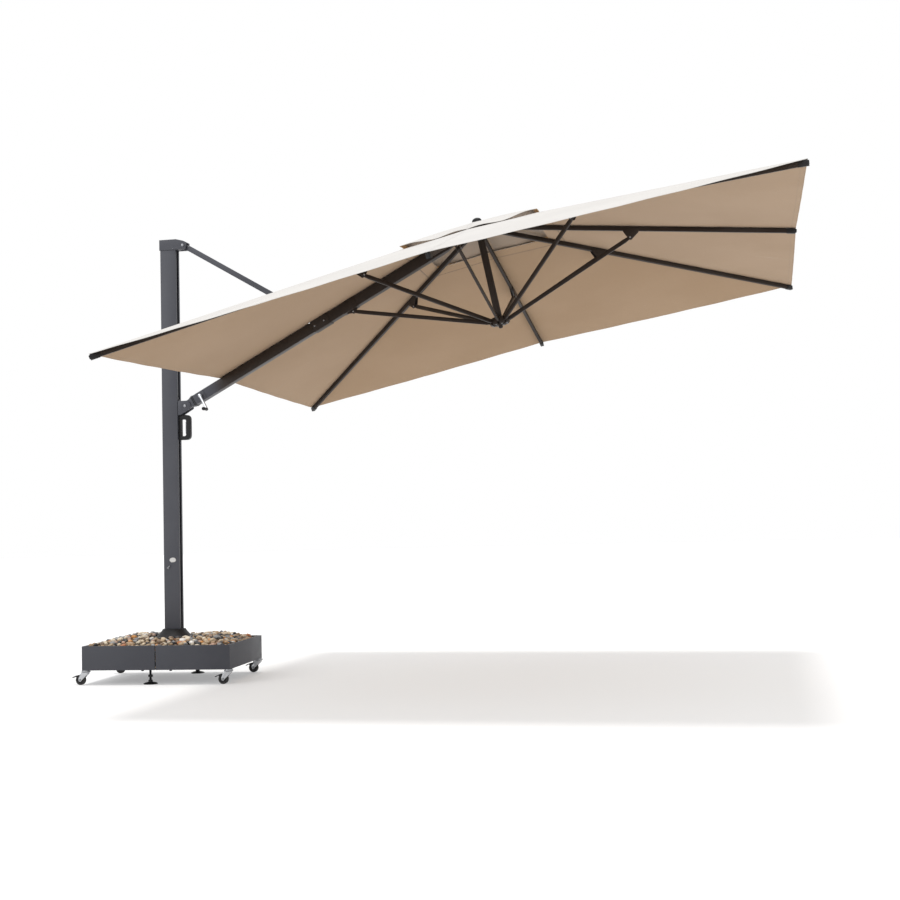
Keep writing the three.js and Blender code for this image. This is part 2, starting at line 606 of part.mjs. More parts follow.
// The boom's own bracket: a sleeve with two cheeks below.
const BOOM_ANGLE = BOOM_SLOPE - CANOPY_TILT;
const bracketTurn = BRACE_ANGLE - BOOM_ANGLE;
const BRACKET_X = BOOM_LENGTH - BRACE_LENGTH * Math.cos(rad(bracketTurn));
const BRACKET_Z = -BRACE_LENGTH * Math.sin(rad(bracketTurn));
const BRACKET_SLOT = BRACE_WIDTH + 2 * PLAY;
const BRACKET_PLATE = 3;
const boomBracket = sleeve(BRACKET_X - 52, BRACKET_X + 42)
  .add(cheeks([
    [BRACKET_X - 44, -sleeveTop + 1],
    ...arc(BRACKET_X, BRACKET_Z, 13, 200, 340, 5),
    [BRACKET_X + 36, -sleeveTop + 1],
  ], BRACKET_SLOT, BRACKET_PLATE));
piece(boom, 'boom_bracket', boomBracket, 'bronze');

// ---- Crank --------------------------------------------------------------

const CRANK_OUT = boomSide + 12; // inner face of the arm
const CRANK_ARM = 92;
const ARM_THICK = 9;
const crankFrame = frame(boom, CRANK_X, 0, 0);
const crank = bar('y', PIN_RADIUS, -CRANK_OUT - ARM_THICK, 14, 0, 0)
  .add(bar('y', 11, -CRANK_OUT - ARM_THICK, -CRANK_OUT + 4, 0, 0))
  .add(side([
    ...arc(0, 0, 7, 10, 170, 5), ...arc(0, -CRANK_ARM, 6, 190, 350, 5),
  ], -CRANK_OUT - ARM_THICK, -CRANK_OUT))
  .add(bar('y', 4, -CRANK_OUT - 62, -CRANK_OUT - 4, 0, -CRANK_ARM, 12));
piece(crankFrame, 'crank_arm', crank, 'chrome');
const spool = turned([
  [PIN_RADIUS + FIT, -13], [SPOOL_RADIUS, -13], [SPOOL_RADIUS, -10], [10, -10], [10, 10], [SPOOL_RADIUS, 10],
  [SPOOL_RADIUS, 13], [PIN_RADIUS + FIT, 13], [PIN_RADIUS + FIT, -13],
], 16).rotate([-90, 0, 0]);
piece(crankFrame, 'cord_spool', spool, 'black');
const knobFrame = frame(crankFrame, 0, 0, -CRANK_ARM);
const KNOB_FROM = -CRANK_OUT - ARM_THICK - FIT;
const knob = bar('y', 10, KNOB_FROM - 56, KNOB_FROM)
  .subtract(bar('y', 4 + FIT, KNOB_FROM - 54, KNOB_FROM + 1, 0, 0, 12));
piece(knobFrame, 'crank_knob', knob, 'black');

// ---- Hubs ---------------------------------------------------------------

// The hub's frame lies on its axis at the height of the pivots, with X in the canopy's plane.
const hub = frame(frame(boom, BOOM_LENGTH, 0, 0, BOOM_ANGLE), HUB_CIRCLE, 0, 0);
const SLOT = BRACE_WIDTH + 2 * PLAY;
const CORE = 26;

const RIBS = [
  { name: 'outer', azimuth: 0 },
  { name: 'outer_far', azimuth: 45 },
  { name: 'far', azimuth: 90 },
  { name: 'inner_far', azimuth: 135 },
  { name: 'inner_near', azimuth: 225 },
  { name: 'near', azimuth: 270 },
  { name: 'outer_near', azimuth: 315 },
];

// A disc with a radial slot for each rib, and a wider one for the boom's tongue.
function slotted(shape, z0, z1, boomSlot) {
  let result = shape;
  for (let azimuth = 0; azimuth < 360; azimuth += 45) {
    const half = (azimuth === 180 ? boomSlot : SLOT) / 2;
    const slot = block(CORE, HUB_RIM + 5, -half, half, z0, z1).rotate([0, 0, azimuth]);
    result = result.subtract(slot);
  }
  return result;
}

const topHub = slotted(turned([
  [0, -14], [HUB_RIM - 3, -14], [HUB_RIM, -10], [HUB_RIM, 16], [HUB_RIM - 12, 24], [14, 30], [0, 30],
], 24), -15, 12, 2 * TONGUE_HALF + 2 * PLAY);
piece(hub, 'top_hub', topHub, 'bronze');

const FINIAL_FOOT = 30 + FIT;
const finial = turned([
  [0, FINIAL_FOOT], [30, FINIAL_FOOT], [32, FINIAL_FOOT + 6], [32, FINIAL_FOOT + 16], [26, FINIAL_FOOT + 26],
  [14, FINIAL_FOOT + 33], [0, FINIAL_FOOT + 35],
], 18);
piece(hub, 'finial', finial, 'black');

const LOWER_DROP = 2 * BRACE_LENGTH * Math.sin(rad(BRACE_ANGLE));
const lowerFrame = frame(hub, 0, 0, -LOWER_DROP);
const lowerHub = slotted(turned([
  [0, -40], [8, -40], [12, -34], [12, -24], [HUB_RIM - 8, -20], [HUB_RIM, -14], [HUB_RIM, 14],
  [HUB_RIM - 3, 20], [0, 20],
], 24), -30, 30, SLOT);
piece(lowerFrame, 'lower_hub', lowerHub, 'bronze');
const TUBE_TOP = LOWER_DROP - 20;
const centreTube = bar('z', TUBE_RADIUS, 20 + FIT, TUBE_TOP, 0, 0, 24)
  .subtract(bar('z', TUBE_RADIUS - TUBE_WALL, 20 + FIT - 1, TUBE_TOP + 1, 0, 0, 24));
piece(lowerFrame, 'centre_tube', centreTube, 'bronze');

// ---- Ribs and braces ----------------------------------------------------

const HALF_SIDE = CANOPY_SIDE / 2;
const RIB_START = 22;
const ribTop = RIB_HEIGHT / 2;
const ribSide = RIB_WIDTH / 2;
const TIP = 46; // length of the end cap

// Where the brace's bracket sits on a rib, and how long and how steep its brace is, so that the
// lower hub is at the same height for every rib when the canopy is open and when it is closed.
function stay(corner) {
  if (!corner) {
    return {
      fall: MID_ANGLE,
      reach: BRACE_LENGTH,
      turn: BRACE_ANGLE - MID_ANGLE,
      length: BRACE_LENGTH,
      slope: BRACE_ANGLE,
    };
  }
  const open = rad(CORNER_ANGLE + CORNER_BRACKET);
  const shut = rad(CORNER_CLOSED + CORNER_BRACKET);
  const shutDrop = 2 * BRACE_LENGTH * Math.sin(rad(BRACE_ANGLE + FOLD));
  const rise = shutDrop * Math.sin(shut) - LOWER_DROP * Math.sin(open);
  const reach = (shutDrop ** 2 - LOWER_DROP ** 2) / (2 * rise);
  const length = Math.sqrt(LOWER_DROP ** 2 - 2 * reach * LOWER_DROP * Math.sin(open) + reach ** 2);
  const slope = deg(Math.asin((LOWER_DROP - reach * Math.sin(open)) / length));
  return { fall: CORNER_ANGLE, reach, turn: CORNER_BRACKET, length, slope };
}

function rib(length, place, drop) {
  const capSide = ribSide + 2;
  const half = BRACE_WIDTH / 2;
  const tongue = side([...arc(0, 0, 9.5, 90, 270), [60, 1 - ribTop], [60, ribTop - 1]], -half, half);
  const endCap = block(length - TIP, length, -capSide, capSide, -ribTop - 2, ribTop - 1);
  const shell = tube(RIB_START, length - 4, RIB_WIDTH, RIB_HEIGHT, RIB_WALL);
  const saddle = [
    [place - 46, -ribTop + 4], [place - 40, -ribTop - 6],
    ...arc(place, drop, 13, 200, 340, 5),
    [place + 40, -ribTop - 6], [place + 46, -ribTop + 4], [place + 40, ribTop - 6], [place - 40, ribTop - 6],
  ];
  const plates = cheeks(saddle, RIB_WIDTH - 0.4, BRACKET_PLATE);
  return shell.add(tongue).add(endCap).add(plates);
}

function brace(length) {
  const half = BRACE_WIDTH / 2;
  const end = 7.5;
  return side([
    ...arc(0, 0, end, 90, 270, 5), [36, -BRACE_HEIGHT / 2], [length - 30, -BRACE_HEIGHT / 2],
    ...arc(length, 0, end, -90, 90, 5),
    [length - 30, BRACE_HEIGHT / 2], [36, BRACE_HEIGHT / 2],
  ], -half, half);
}

for (const { name, azimuth } of RIBS) {
  const corner = azimuth % 90 !== 0;
  const { fall, reach, turn, length, slope } = stay(corner);
  const across = corner ? HALF_SIDE * Math.SQRT2 : HALF_SIDE;
  const ribLength = (across - HUB_CIRCLE) / Math.cos(rad(fall)) - 6;
  const place = reach * Math.cos(rad(turn));
  const drop = -reach * Math.sin(rad(turn));
  const radial = frame(hub, 0, 0, 0, 0, azimuth);
  const ribFrame = frame(radial, HUB_CIRCLE, 0, 0, fall);
  piece(ribFrame, `rib_${name}`, rib(ribLength, place, drop), 'bronze');
  const braceFrame = frame(ribFrame, place, 0, drop, 180 - slope - fall);
  piece(braceFrame, `brace_${name}`, brace(length), 'bronze');
}
const boomBraceFrame = frame(boom, BRACKET_X, 0, BRACKET_Z, BRACE_ANGLE + BOOM_ANGLE);
piece(boomBraceFrame, 'brace_boom', brace(BRACE_LENGTH), 'bronze');

// ---- Canopy -------------------------------------------------------------

// Height of the fabric's underside over a rib's line at a distance from the hub's axis.
function above(fall, offset, distance) {
  return -(distance - HUB_CIRCLE) * Math.tan(rad(fall)) + offset / Math.cos(rad(fall));
}

const ribLift = ribTop + FABRIC_GAP;
const boomLift = sleeveTop + FABRIC_GAP;

// The underside at the crossing of a ridge with a square ring of the given half size.
function ridge(azimuth, half) {
  const corner = azimuth % 90 !== 0;
  const distance = corner ? half * Math.SQRT2 : half;
  const fall = corner ? CORNER_ANGLE : MID_ANGLE;
  const isBoom = azimuth === 180;
  const z = isBoom ? above(BOOM_ANGLE, boomLift, distance) : above(fall, ribLift, distance);
  return [distance * Math.cos(rad(azimuth)), distance * Math.sin(rad(azimuth)), z];
}

// A closed shell between two rings of eight points, of the fabric's thickness.
function shell(inner, outer) {
  const count = inner.length;
  const raise = ([x, y, z]) => [x, y, z + FABRIC];
  const points = [...inner, ...outer, ...inner.map(raise), ...outer.map(raise)];
  const faces = [];
  const quad = (a, b, c, d) => faces.push(a, b, c, a, c, d);
  for (let i = 0; i < count; i += 1) {
    const j = (i + 1) % count;
    quad(i, j, count + j, count + i);
    quad(2 * count + i, 3 * count + i, 3 * count + j, 2 * count + j);
    quad(i, 2 * count + i, 2 * count + j, j);
    quad(count + i, count + j, 3 * count + j, 3 * count + i);
  }
  const geometry = new THREE.BufferGeometry();
  geometry.setAttribute('position', new THREE.BufferAttribute(new Float32Array(points.flat()), 3));
  geometry.setIndex(faces);
  return solid(geometry);
}

const AZIMUTHS = [0, 45, 90, 135, 180, 225, 270, 315];
const opening = VENT_OPENING * HALF_SIDE;
const canopyShell = shell(
  AZIMUTHS.map((azimuth) => ridge(azimuth, opening)),
  AZIMUTHS.map((azimuth) => ridge(azimuth, HALF_SIDE)),
);

// The slit over the boom that the strut comes through.
const boomFromHub = (x, z) => {
  const turn = rad(BOOM_ANGLE);
  const dx = x - BOOM_LENGTH;
  return [dx * Math.cos(turn) - z * Math.sin(turn) - HUB_CIRCLE, dx * Math.sin(turn) + z * Math.cos(turn)];
};
const [slitX, slitZ] = boomFromHub(STRUT_PLACE, STRUT_RISE);
const slit = block(
  slitX - SLIT_LENGTH / 2, slitX + SLIT_LENGTH / 2, -SLIT_WIDTH / 2, SLIT_WIDTH / 2, slitZ - 90, slitZ + 90,
);
piece(hub, 'canopy', canopyShell.subtract(slit), 'ivory');

// The raised square over the vent opening, hung from the hub's top.
const ventHalf = VENT_SIZE * HALF_SIDE;
const VENT_EYE = 40;
const ventCanopy = shell(
  AZIMUTHS.map((azimuth) => {
    const distance = azimuth % 90 ? VENT_EYE * Math.SQRT2 : VENT_EYE;
    return [distance * Math.cos(rad(azimuth)), distance * Math.sin(rad(azimuth)), 32];
  }),
  AZIMUTHS.map((azimuth) => {
    const [x, y, z] = ridge(azimuth, ventHalf);
    return [x, y, z + VENT_RISE];
  }),
);
piece(hub, 'vent_canopy', ventCanopy, 'ivory');

// ---- Origin -------------------------------------------------------------

// The middle of the object's box in plan, on the floor.
umbrella.updateMatrixWorld(true);
const extent = new THREE.Box3().setFromObject(umbrella, true);
umbrella.position.set(-(extent.min.x + extent.max.x) / 2, -(extent.min.y + extent.max.y) / 2, -extent.min.z);

export default umbrella;
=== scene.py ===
"""Dresses the frame of a square cantilever patio umbrella: base, mast, boom, ribs and canopy."""

import json
import math
import random
from contextlib import contextmanager

import bmesh
import bpy
import numpy as np
from bpy.props import FloatProperty, FloatVectorProperty, IntProperty, PointerProperty
from mathutils import Matrix, Vector

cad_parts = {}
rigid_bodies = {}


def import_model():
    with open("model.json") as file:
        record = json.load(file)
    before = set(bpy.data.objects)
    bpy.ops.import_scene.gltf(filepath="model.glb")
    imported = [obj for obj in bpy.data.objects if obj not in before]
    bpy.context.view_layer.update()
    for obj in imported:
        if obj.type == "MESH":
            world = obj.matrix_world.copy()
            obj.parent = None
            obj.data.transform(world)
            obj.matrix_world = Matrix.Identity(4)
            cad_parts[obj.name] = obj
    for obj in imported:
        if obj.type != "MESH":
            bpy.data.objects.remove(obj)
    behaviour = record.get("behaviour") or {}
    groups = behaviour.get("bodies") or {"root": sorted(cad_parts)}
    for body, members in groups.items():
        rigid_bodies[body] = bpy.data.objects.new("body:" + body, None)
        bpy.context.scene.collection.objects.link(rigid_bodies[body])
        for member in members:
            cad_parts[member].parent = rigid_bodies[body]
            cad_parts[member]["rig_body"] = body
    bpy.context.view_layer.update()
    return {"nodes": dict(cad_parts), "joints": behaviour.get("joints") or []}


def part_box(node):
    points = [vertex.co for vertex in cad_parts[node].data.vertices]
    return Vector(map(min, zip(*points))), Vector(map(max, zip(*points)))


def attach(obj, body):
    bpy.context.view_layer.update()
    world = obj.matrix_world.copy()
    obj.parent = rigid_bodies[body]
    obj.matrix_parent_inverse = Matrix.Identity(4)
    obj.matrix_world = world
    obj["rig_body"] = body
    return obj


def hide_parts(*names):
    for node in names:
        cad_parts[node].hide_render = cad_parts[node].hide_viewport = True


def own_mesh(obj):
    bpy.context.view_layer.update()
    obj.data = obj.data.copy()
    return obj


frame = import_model()

bl_info = {
    "name": "Cantilever umbrella",
    "version": (1, 0, 0),
    "blender": (4, 5, 0),
    "location": "View3D > Sidebar > Umbrella",
    "description": "Finishes a square cantilever umbrella on a pebble-filled base",
    "category": "Object",
}

MM = 0.001
NODES = frame["nodes"]
JOINTS = {joint["name"]: joint for joint in frame["joints"]}
CORNERS = ("near_left", "near_right", "far_right", "far_left")
FEET = ("near", "far")
# Round the hub from the side away from the post; the boom takes the place of the eighth rib.
RIBS = ("outer", "outer_far", "far", "inner_far", "boom", "inner_near", "near", "outer_near")


# ---- Places taken from the frame ----------------------------------------

def pivot(joint):
    return Vector(JOINTS[joint]["pos_m"])


def axis_of(joint):
    return Vector(JOINTS[joint]["axis"])


def basis(x, y, origin):
    """A frame at the origin whose X and Y axes point as given."""
    turn = Matrix((x, y, x.cross(y))).transposed().to_4x4()
    return Matrix.Translation(origin) @ turn


def middle_of(node):
    low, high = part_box(node)
    return (low + high) / 2


OUTWARD = -axis_of("rib_fold_far")
CROSSWISE = Vector((0, 1, 0))
HUB = basis(OUTWARD, CROSSWISE, (pivot("rib_fold_far") + pivot("rib_fold_near")) / 2)
HUB_INVERSE = HUB.inverted()
BASE_ACROSS = axis_of("wheel_spin_near_left")
BASE_ALONG = BASE_ACROSS.cross(Vector((0, 0, 1)))
POST_AXIS = pivot("post_turn")
BASE = basis(BASE_ALONG, BASE_ACROSS, Vector((POST_AXIS.x, POST_AXIS.y, 0)))
BASE_INVERSE = BASE.inverted()
TRAY_POINTS = [BASE_INVERSE @ v.co for v in NODES["tray_right"].data.vertices]
TRAY_X = max(p.x for p in TRAY_POINTS)
TRAY_Y = max(p.y for p in TRAY_POINTS)
TRAY_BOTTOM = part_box("tray_right")[0].z
TRAY_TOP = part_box("tray_right")[1].z


def ridge_ends(node):
    """For each rib line, the inner and outer ends of a cloth solid's underside, in the hub's frame."""
    points = [HUB_INVERSE @ v.co for v in NODES[node].data.vertices]
    ends = []
    for index in range(len(RIBS)):
        way = Vector((math.cos(index * math.pi / 4), math.sin(index * math.pi / 4)))
        line = [p for p in points if p.xy.normalized().dot(way) > 0.99999]
        nearest = min(p.xy.length for p in line)
        furthest = max(p.xy.length for p in line)
        inner = min((p for p in line if p.xy.length < nearest + MM), key=lambda p: p.z)
        outer = min((p for p in line if p.xy.length > furthest - MM), key=lambda p: p.z)
        ends.append((inner, outer))
    return ends


CANOPY_LINES = ridge_ends("canopy")
VENT_LINES = ridge_ends("vent_canopy")
HALF_SIDE = CANOPY_LINES[0][1].x
# Where the vent opening's edge and the seam ring round it lie, as shares of the half side.
OPENING_SHARE = 0.202
FACING_SHARE = 0.25


def opened(lines, share):
    """The same ridges, started further out, at a share of the half side from the hub."""
    first, last = lines[0][0].x, lines[0][1].x
    skip = (share * last - first) / (last - first)
    return [(inner.lerp(outer, skip), outer) for inner, outer in lines]


SHEET_LINES = opened(CANOPY_LINES, OPENING_SHARE)


def rib_frame(index):
    """A frame at a rib's hinge with X out along the rib, Y across it and Z up from it."""
    inner, outer = CANOPY_LINES[index]
    along = (HUB.to_3x3() @ (outer - inner)).normalized()
    angle = index * math.pi / 4
    across = (HUB.to_3x3() @ Vector((-math.sin(angle), math.cos(angle), 0))).normalized()
    name = RIBS[index]
    hinge = pivot("canopy_fold") if name == "boom" else pivot(f"rib_fold_{name}")
    return basis(along, across, hinge)


BOOM_ALONG = (pivot("canopy_fold") - pivot("slider_pivot")).normalized()
BOOM = basis(BOOM_ALONG, CROSSWISE, pivot("slider_pivot"))


# ---- Settings ------------------------------------------------------------

def colour(name, description, default):
    return FloatVectorProperty(
        name=name, description=description, subtype="COLOR", size=3, min=0, max=1, default=default,
    )


def length(name, description, default):
    return FloatProperty(name=name, description=description, unit="LENGTH", default=default, min=0)


class MetalSettings(bpy.types.PropertyGroup):
    grey: colour("Slate grey", "Powder coat of the post, trays and lower boom", (0.044, 0.046, 0.059))
    # On the upper boom this dark bronze is painted shade under the canopy.
    bronze: colour("Dark bronze", "Powder coat of the ribs, braces and upper boom", (0.021, 0.0135, 0.0095))
    rounding: length("Edge rounding", "Width of the rounded edges of metal pieces", 1.2 * MM)


class BaseSettings(bpy.types.PropertyGroup):
    stone: length("Pebble size", "Usual length of a pebble", 42 * MM)
    crown: length("Crown", "Height of the heap above the rim", 46 * MM)
    seed: IntProperty(name="Seed", description="Picks how the pebbles lie", default=7)


class CanopySettings(bpy.types.PropertyGroup):
    ivory: colour("Outside", "Colour of the cloth's outer face", (0.64, 0.618, 0.592))
    # Painted light: this tan stands for the ivory cloth seen from below in shade, warmed by light coming
    # through it.
    tan: colour("Inside", "Colour of the cloth's inner face", (0.340, 0.219, 0.120))
    # Painted light: the vent's orange inner face is the glow of light coming through the cloth.
    vent: colour("Vent inside", "Colour of the vent canopy's inner face", (0.55, 0.30, 0.10))
    cloth: length("Cloth", "Thickness of the cloth's hems and seams", 2 * MM)
    hem: length("Hem", "Width of the hem", 26 * MM)
    sag: FloatProperty(
        name="Sag", description="Dip of a panel as a share of its width", subtype="FACTOR", default=0.003,
        min=0, max=0.05,
    )


class StageSettings(bpy.types.PropertyGroup):
    floor: colour("Floor", "Colour of the studio floor", (0.68, 0.68, 0.68))
    glow: FloatProperty(name="Glow", description="Light that comes up through the floor", default=0.30, min=0)
    sky: FloatProperty(name="Sky", description="Strength of the light all round", default=0.85, min=0)
    key: FloatProperty(name="Key", description="Strength of the overhead light", default=1.5, min=0)


# ---- Modelling -----------------------------------------------------------

def only(*pieces):
    """Selects these pieces and nothing else, with the first one active."""
    bpy.ops.object.select_all(action="DESELECT")
    for piece in pieces:
        piece.select_set(True)
    bpy.context.view_layer.objects.active = pieces[0]


@contextmanager
def editing(piece):
    """Edit mode on one piece with all of its faces selected."""
    only(piece)
    bpy.ops.object.mode_set(mode="EDIT")
    bpy.ops.mesh.select_mode(type="FACE")
    bpy.ops.mesh.select_all(action="SELECT")
    yield
    bpy.ops.object.mode_set(mode="OBJECT")


def pick(piece, test):
    """In edit mode, selects only the faces whose middle and normal pass the test."""
    bpy.ops.mesh.select_all(action="DESELECT")
    mesh = bmesh.from_edit_mesh(piece.data)
    for face in mesh.faces:
        if test(face.calc_center_median(), face.normal):
            face.select_set(True)
    bmesh.update_edit_mesh(piece.data)


def fresh(name):
    """Names the primitive just added and puts its place in its mesh."""
    piece = bpy.context.object
    piece.name = name
    piece.data.name = name
    bpy.ops.object.transform_apply(location=True, rotation=True, scale=True)
    return piece


def block(name, low, high):
    low, high = Vector(low), Vector(high)
    bpy.ops.object.select_all(action="DESELECT")
    bpy.ops.mesh.primitive_cube_add(size=1, location=(low + high) / 2, scale=high - low)
    return fresh(name)


def turned(name, profile, sides=32):
    """A round piece about Z, drawn up ring by ring from a disc. The profile is [radius, height] pairs."""
    (radius, height), *rest = profile
    bpy.ops.object.select_all(action="DESELECT")
    bpy.ops.mesh.primitive_circle_add(
        vertices=sides, radius=radius, fill_type="NGON", location=(0, 0, height),
    )
    piece = fresh(name)
    with editing(piece):
        for next_radius, next_height in rest:
            rise = (0, 0, next_height - height)
            bpy.ops.mesh.extrude_region_move(TRANSFORM_OT_translate={"value": rise})
            grow = next_radius / radius
            bpy.ops.transform.resize(value=(grow, grow, 1), center_override=(0, 0, next_height))
            radius, height = next_radius, next_height
        bpy.ops.mesh.select_all(action="SELECT")
        bpy.ops.mesh.normals_make_consistent(inside=False)
    return piece


def bored(piece):
    """Opens a turned piece's flat ends and joins their rims with a straight bore."""
    with editing(piece):
        pick(piece, lambda middle, normal: abs(normal.z) > 0.99 and middle.xy.length < 0.1 * MM)
        bpy.ops.mesh.delete(type="FACE")
        bpy.ops.mesh.select_mode(type="EDGE")
        bpy.ops.mesh.select_all(action="DESELECT")
        bpy.ops.mesh.select_non_manifold()
        bpy.ops.mesh.bridge_edge_loops()
        bpy.ops.mesh.select_all(action="SELECT")
        bpy.ops.mesh.normals_make_consistent(inside=False)
    return piece


def plate(name, outline, thickness):
    """A flat outline in the XY plane drawn up into a plate. It starts as a disc with as many points."""
    bpy.ops.object.select_all(action="DESELECT")
    bpy.ops.mesh.primitive_circle_add(vertices=len(outline), radius=1, fill_type="NGON")
    piece = fresh(name)
    for vertex, (x, y) in zip(piece.data.vertices, outline):
        vertex.co = (x, y, 0)
    with editing(piece):
        bpy.ops.mesh.extrude_region_move(TRANSFORM_OT_translate={"value": (0, 0, thickness)})
        bpy.ops.mesh.select_all(action="SELECT")
        bpy.ops.mesh.normals_make_consistent(inside=False)
    return piece


def finished_by(piece, kind, **values):
    """Adds a modifier with these values and applies it."""
    only(piece)
    modifier = piece.modifiers.new(kind.lower(), kind)
    for name, value in values.items():
        setattr(modifier, name, value)
    bpy.ops.object.modifier_apply(modifier=modifier.name)


def rounded(piece, width, angle=35, segments=2):
    """Rounds the hard edges, and marks the new faces with the edge attribute that wear is drawn from."""
    while len(piece.data.materials) < 2:
        piece.data.materials.append(None)
    finished_by(
        piece, "BEVEL", width=width, segments=segments, limit_method="ANGLE",
        angle_limit=math.radians(angle), material=1, use_clamp_overlap=True, miter_outer="MITER_ARC",
    )
    mesh = piece.data
    slots = np.zeros(len(mesh.polygons), np.int32)
    mesh.polygons.foreach_get("material_index", slots)
    attribute = mesh.attributes.get("edge") or mesh.attributes.new("edge", "FLOAT", "FACE")
    attribute.data.foreach_set("value", (slots == 1).astype(np.float32))
    mesh.polygons.foreach_set("material_index", np.zeros(len(slots), np.int32))
    mesh.materials.clear()


def smooth(piece, angle=32):
    only(piece)
    bpy.ops.object.shade_smooth_by_angle(angle=math.radians(angle))


def aim(origin, axis=(0, 0, 1), spin=0):
    """A place whose Z axis points along the axis given."""
    way = Vector((0, 0, 1)).rotation_difference(Vector(axis)).to_matrix().to_4x4()
    return Matrix.Translation(origin) @ way @ Matrix.Rotation(spin, 4, "Z")


def copies(source, name, places):
    """One piece with a copy of the source at each place. The source is used up."""
    made = []
    for place in places:
        copy = bpy.data.objects.new(name, source.data.copy())
        copy.data.transform(place)
        bpy.context.scene.collection.objects.link(copy)
        made.append(copy)
    bpy.data.objects.remove(source)
    only(*made)
    if len(made) > 1:
        bpy.ops.object.join()
    made[0].name = name
    return made[0]


def joined(name, *pieces):
    only(*pieces)
    bpy.ops.object.join()
    pieces[0].name = name
    return pieces[0]


def painted(piece, *materials):
    piece.data.materials.clear()
    for material in materials:
        piece.data.materials.append(material)
    return piece


def fitted(piece, body, slot, *nodes):
    """The piece rides on the body and stands for these nodes. The slot is not used."""
    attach(piece, body)
    if nodes:
        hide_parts(*nodes)
    return piece


def merged_copy(node):
    """A copy of a frame node's mesh as one clean surface with flat faces joined up."""
    piece = bpy.data.objects.new(f"{node}_finished", NODES[node].data.copy())
    bpy.context.scene.collection.objects.link(piece)
    with editing(piece):
        bpy.ops.mesh.remove_doubles(threshold=0.01 * MM)
        bpy.ops.mesh.dissolve_limited(angle_limit=math.radians(0.3))
    return piece


def dressed(node, material, slot, width=None, segments=2):
    """A frame node's shape with its edges rounded, that stands for the node."""
    piece = merged_copy(node)
    rounded(piece, width or metal().rounding, segments=segments)
    smooth(piece)
    painted(piece, material)
    return fitted(piece, NODES[node]["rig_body"], slot, node)


def dome_head(name, radius, height):
    """A low round rivet head standing on Z = 0."""
    steps = [(radius, -height / 2), (radius, height * 0.2), (radius * 0.86, height * 0.62)]
    steps += [(radius * 0.55, height * 0.92), (radius * 0.2, height)]
    return turned(name, steps, 16)


def hex_head(name, radius, height):
    """A hexagon bolt head on a washer, standing on Z = 0."""
    washer = turned(f"{name}_washer", [(radius * 1.35, 0), (radius * 1.35, height * 0.2)], 20)
    head = turned(name, [(radius, height * 0.2), (radius, height * 0.85), (radius * 0.8, height)], 6)
    return joined(name, head, washer)


# ---- Shader node helpers ---------------------------------------------------

class Wiring:
    """Adds nodes to one tree; every call returns the new node's first output unless told otherwise."""

    def __init__(self, tree):
        self.tree = tree

    def node(self, kind, inputs=None, **values):
        made = self.tree.nodes.new(kind)
        for name, value in values.items():
            setattr(made, name, value)
        for key, value in (inputs or {}).items():
            self.feed(made.inputs[key], value)
        return made

    def feed(self, socket, value):
        if isinstance(value, bpy.types.NodeSocket):
            self.tree.links.new(value, socket)
        elif value is not None:
            if socket.type == "RGBA" and len(value) == 3:
                value = (*value, 1)
            socket.default_value = value

    def math(self, operation, a, b=None, clamp=False):
        made = self.node("ShaderNodeMath", {0: a}, operation=operation, use_clamp=clamp)
        if b is not None:
            self.feed(made.inputs[1], b)
        return made.outputs[0]

    def mix(self, factor, a, b, blend="MIX"):
        made = self.node("ShaderNodeMix", {0: factor, 6: a, 7: b}, data_type="RGBA", blend_type=blend)
        return made.outputs[2]

    def span(self, value, low, high, to_low=0.0, to_high=1.0, smooth_ends=True):
        made = self.node(
            "ShaderNodeMapRange", {0: value, 1: low, 2: high, 3: to_low, 4: to_high},
            interpolation_type="SMOOTHSTEP" if smooth_ends else "LINEAR",
        )
        return made.outputs[0]

    def noise(self, vector, scale, detail=2.0, roughness=0.5):
        inputs = {"Vector": vector, "Scale": scale, "Detail": detail, "Roughness": roughness}
        return self.node("ShaderNodeTexNoise", inputs).outputs[0]

    def coordinates(self, stretch=(1, 1, 1)):
        source = self.node("ShaderNodeTexCoord").outputs["Object"]
        if stretch == (1, 1, 1):
            return source
        return self.node("ShaderNodeMapping", {"Vector": source, "Scale": stretch}).outputs[0]

    def attribute(self, name, output="Fac"):
        return self.node("ShaderNodeAttribute", attribute_name=name).outputs[output]

    def group(self, tree, inputs):
        return self.node("ShaderNodeGroup", inputs, node_tree=tree).outputs


def effect(name, inputs, outputs):
    """A new shader node group with these value or vector inputs and outputs, and its wiring."""
    tree = bpy.data.node_groups.new(name, "ShaderNodeTree")
    for socket, kind in inputs.items():
        tree.interface.new_socket(socket, in_out="INPUT", socket_type=f"NodeSocket{kind}")
    for socket, kind in outputs.items():
        tree.interface.new_socket(socket, in_out="OUTPUT", socket_type=f"NodeSocket{kind}")
    wires = Wiring(tree)
    return tree, wires, wires.node("NodeGroupInput").outputs, wires.node("NodeGroupOutput").inputs


def once(maker):
    """Makes a material or group the first time it is asked for and keeps it."""
    kept = {}

    def give(*words):
        if words not in kept:
            kept[words] = maker(*words)
        return kept[words]

    return give


@once
def edge_wear():
    """Rubbed patches along rounded edges."""
    tree, wires, given, out = effect(
        "edge_wear", {"Vector": "Vector", "Amount": "Float", "Scale": "Float"}, {"Wear": "Float"},
    )
    edge = wires.attribute("edge")
    patches = wires.noise(given["Vector"], given["Scale"], 4.0, 0.65)
    threshold = wires.math("SUBTRACT", 1.0, given["Amount"])
    rubbed = wires.math("MULTIPLY", wires.math("SUBTRACT", patches, threshold), 9.0, clamp=True)
    wires.feed(out["Wear"], wires.math("MULTIPLY", edge, rubbed))
    return tree


@once
def coat_grain():
    """The orange peel of a baked coat, with broad cloudy tones over it."""
    tree, wires, given, out = effect(
        "coat_grain", {"Vector": "Vector", "Grain": "Float"}, {"Height": "Float", "Tone": "Float"},
    )
    wires.feed(out["Height"], wires.noise(given["Vector"], given["Grain"], 2.0))
    broad = wires.noise(given["Vector"], 2.4, 4.0, 0.6)
    wires.feed(out["Tone"], wires.span(broad, 0.3, 0.7))
    return tree


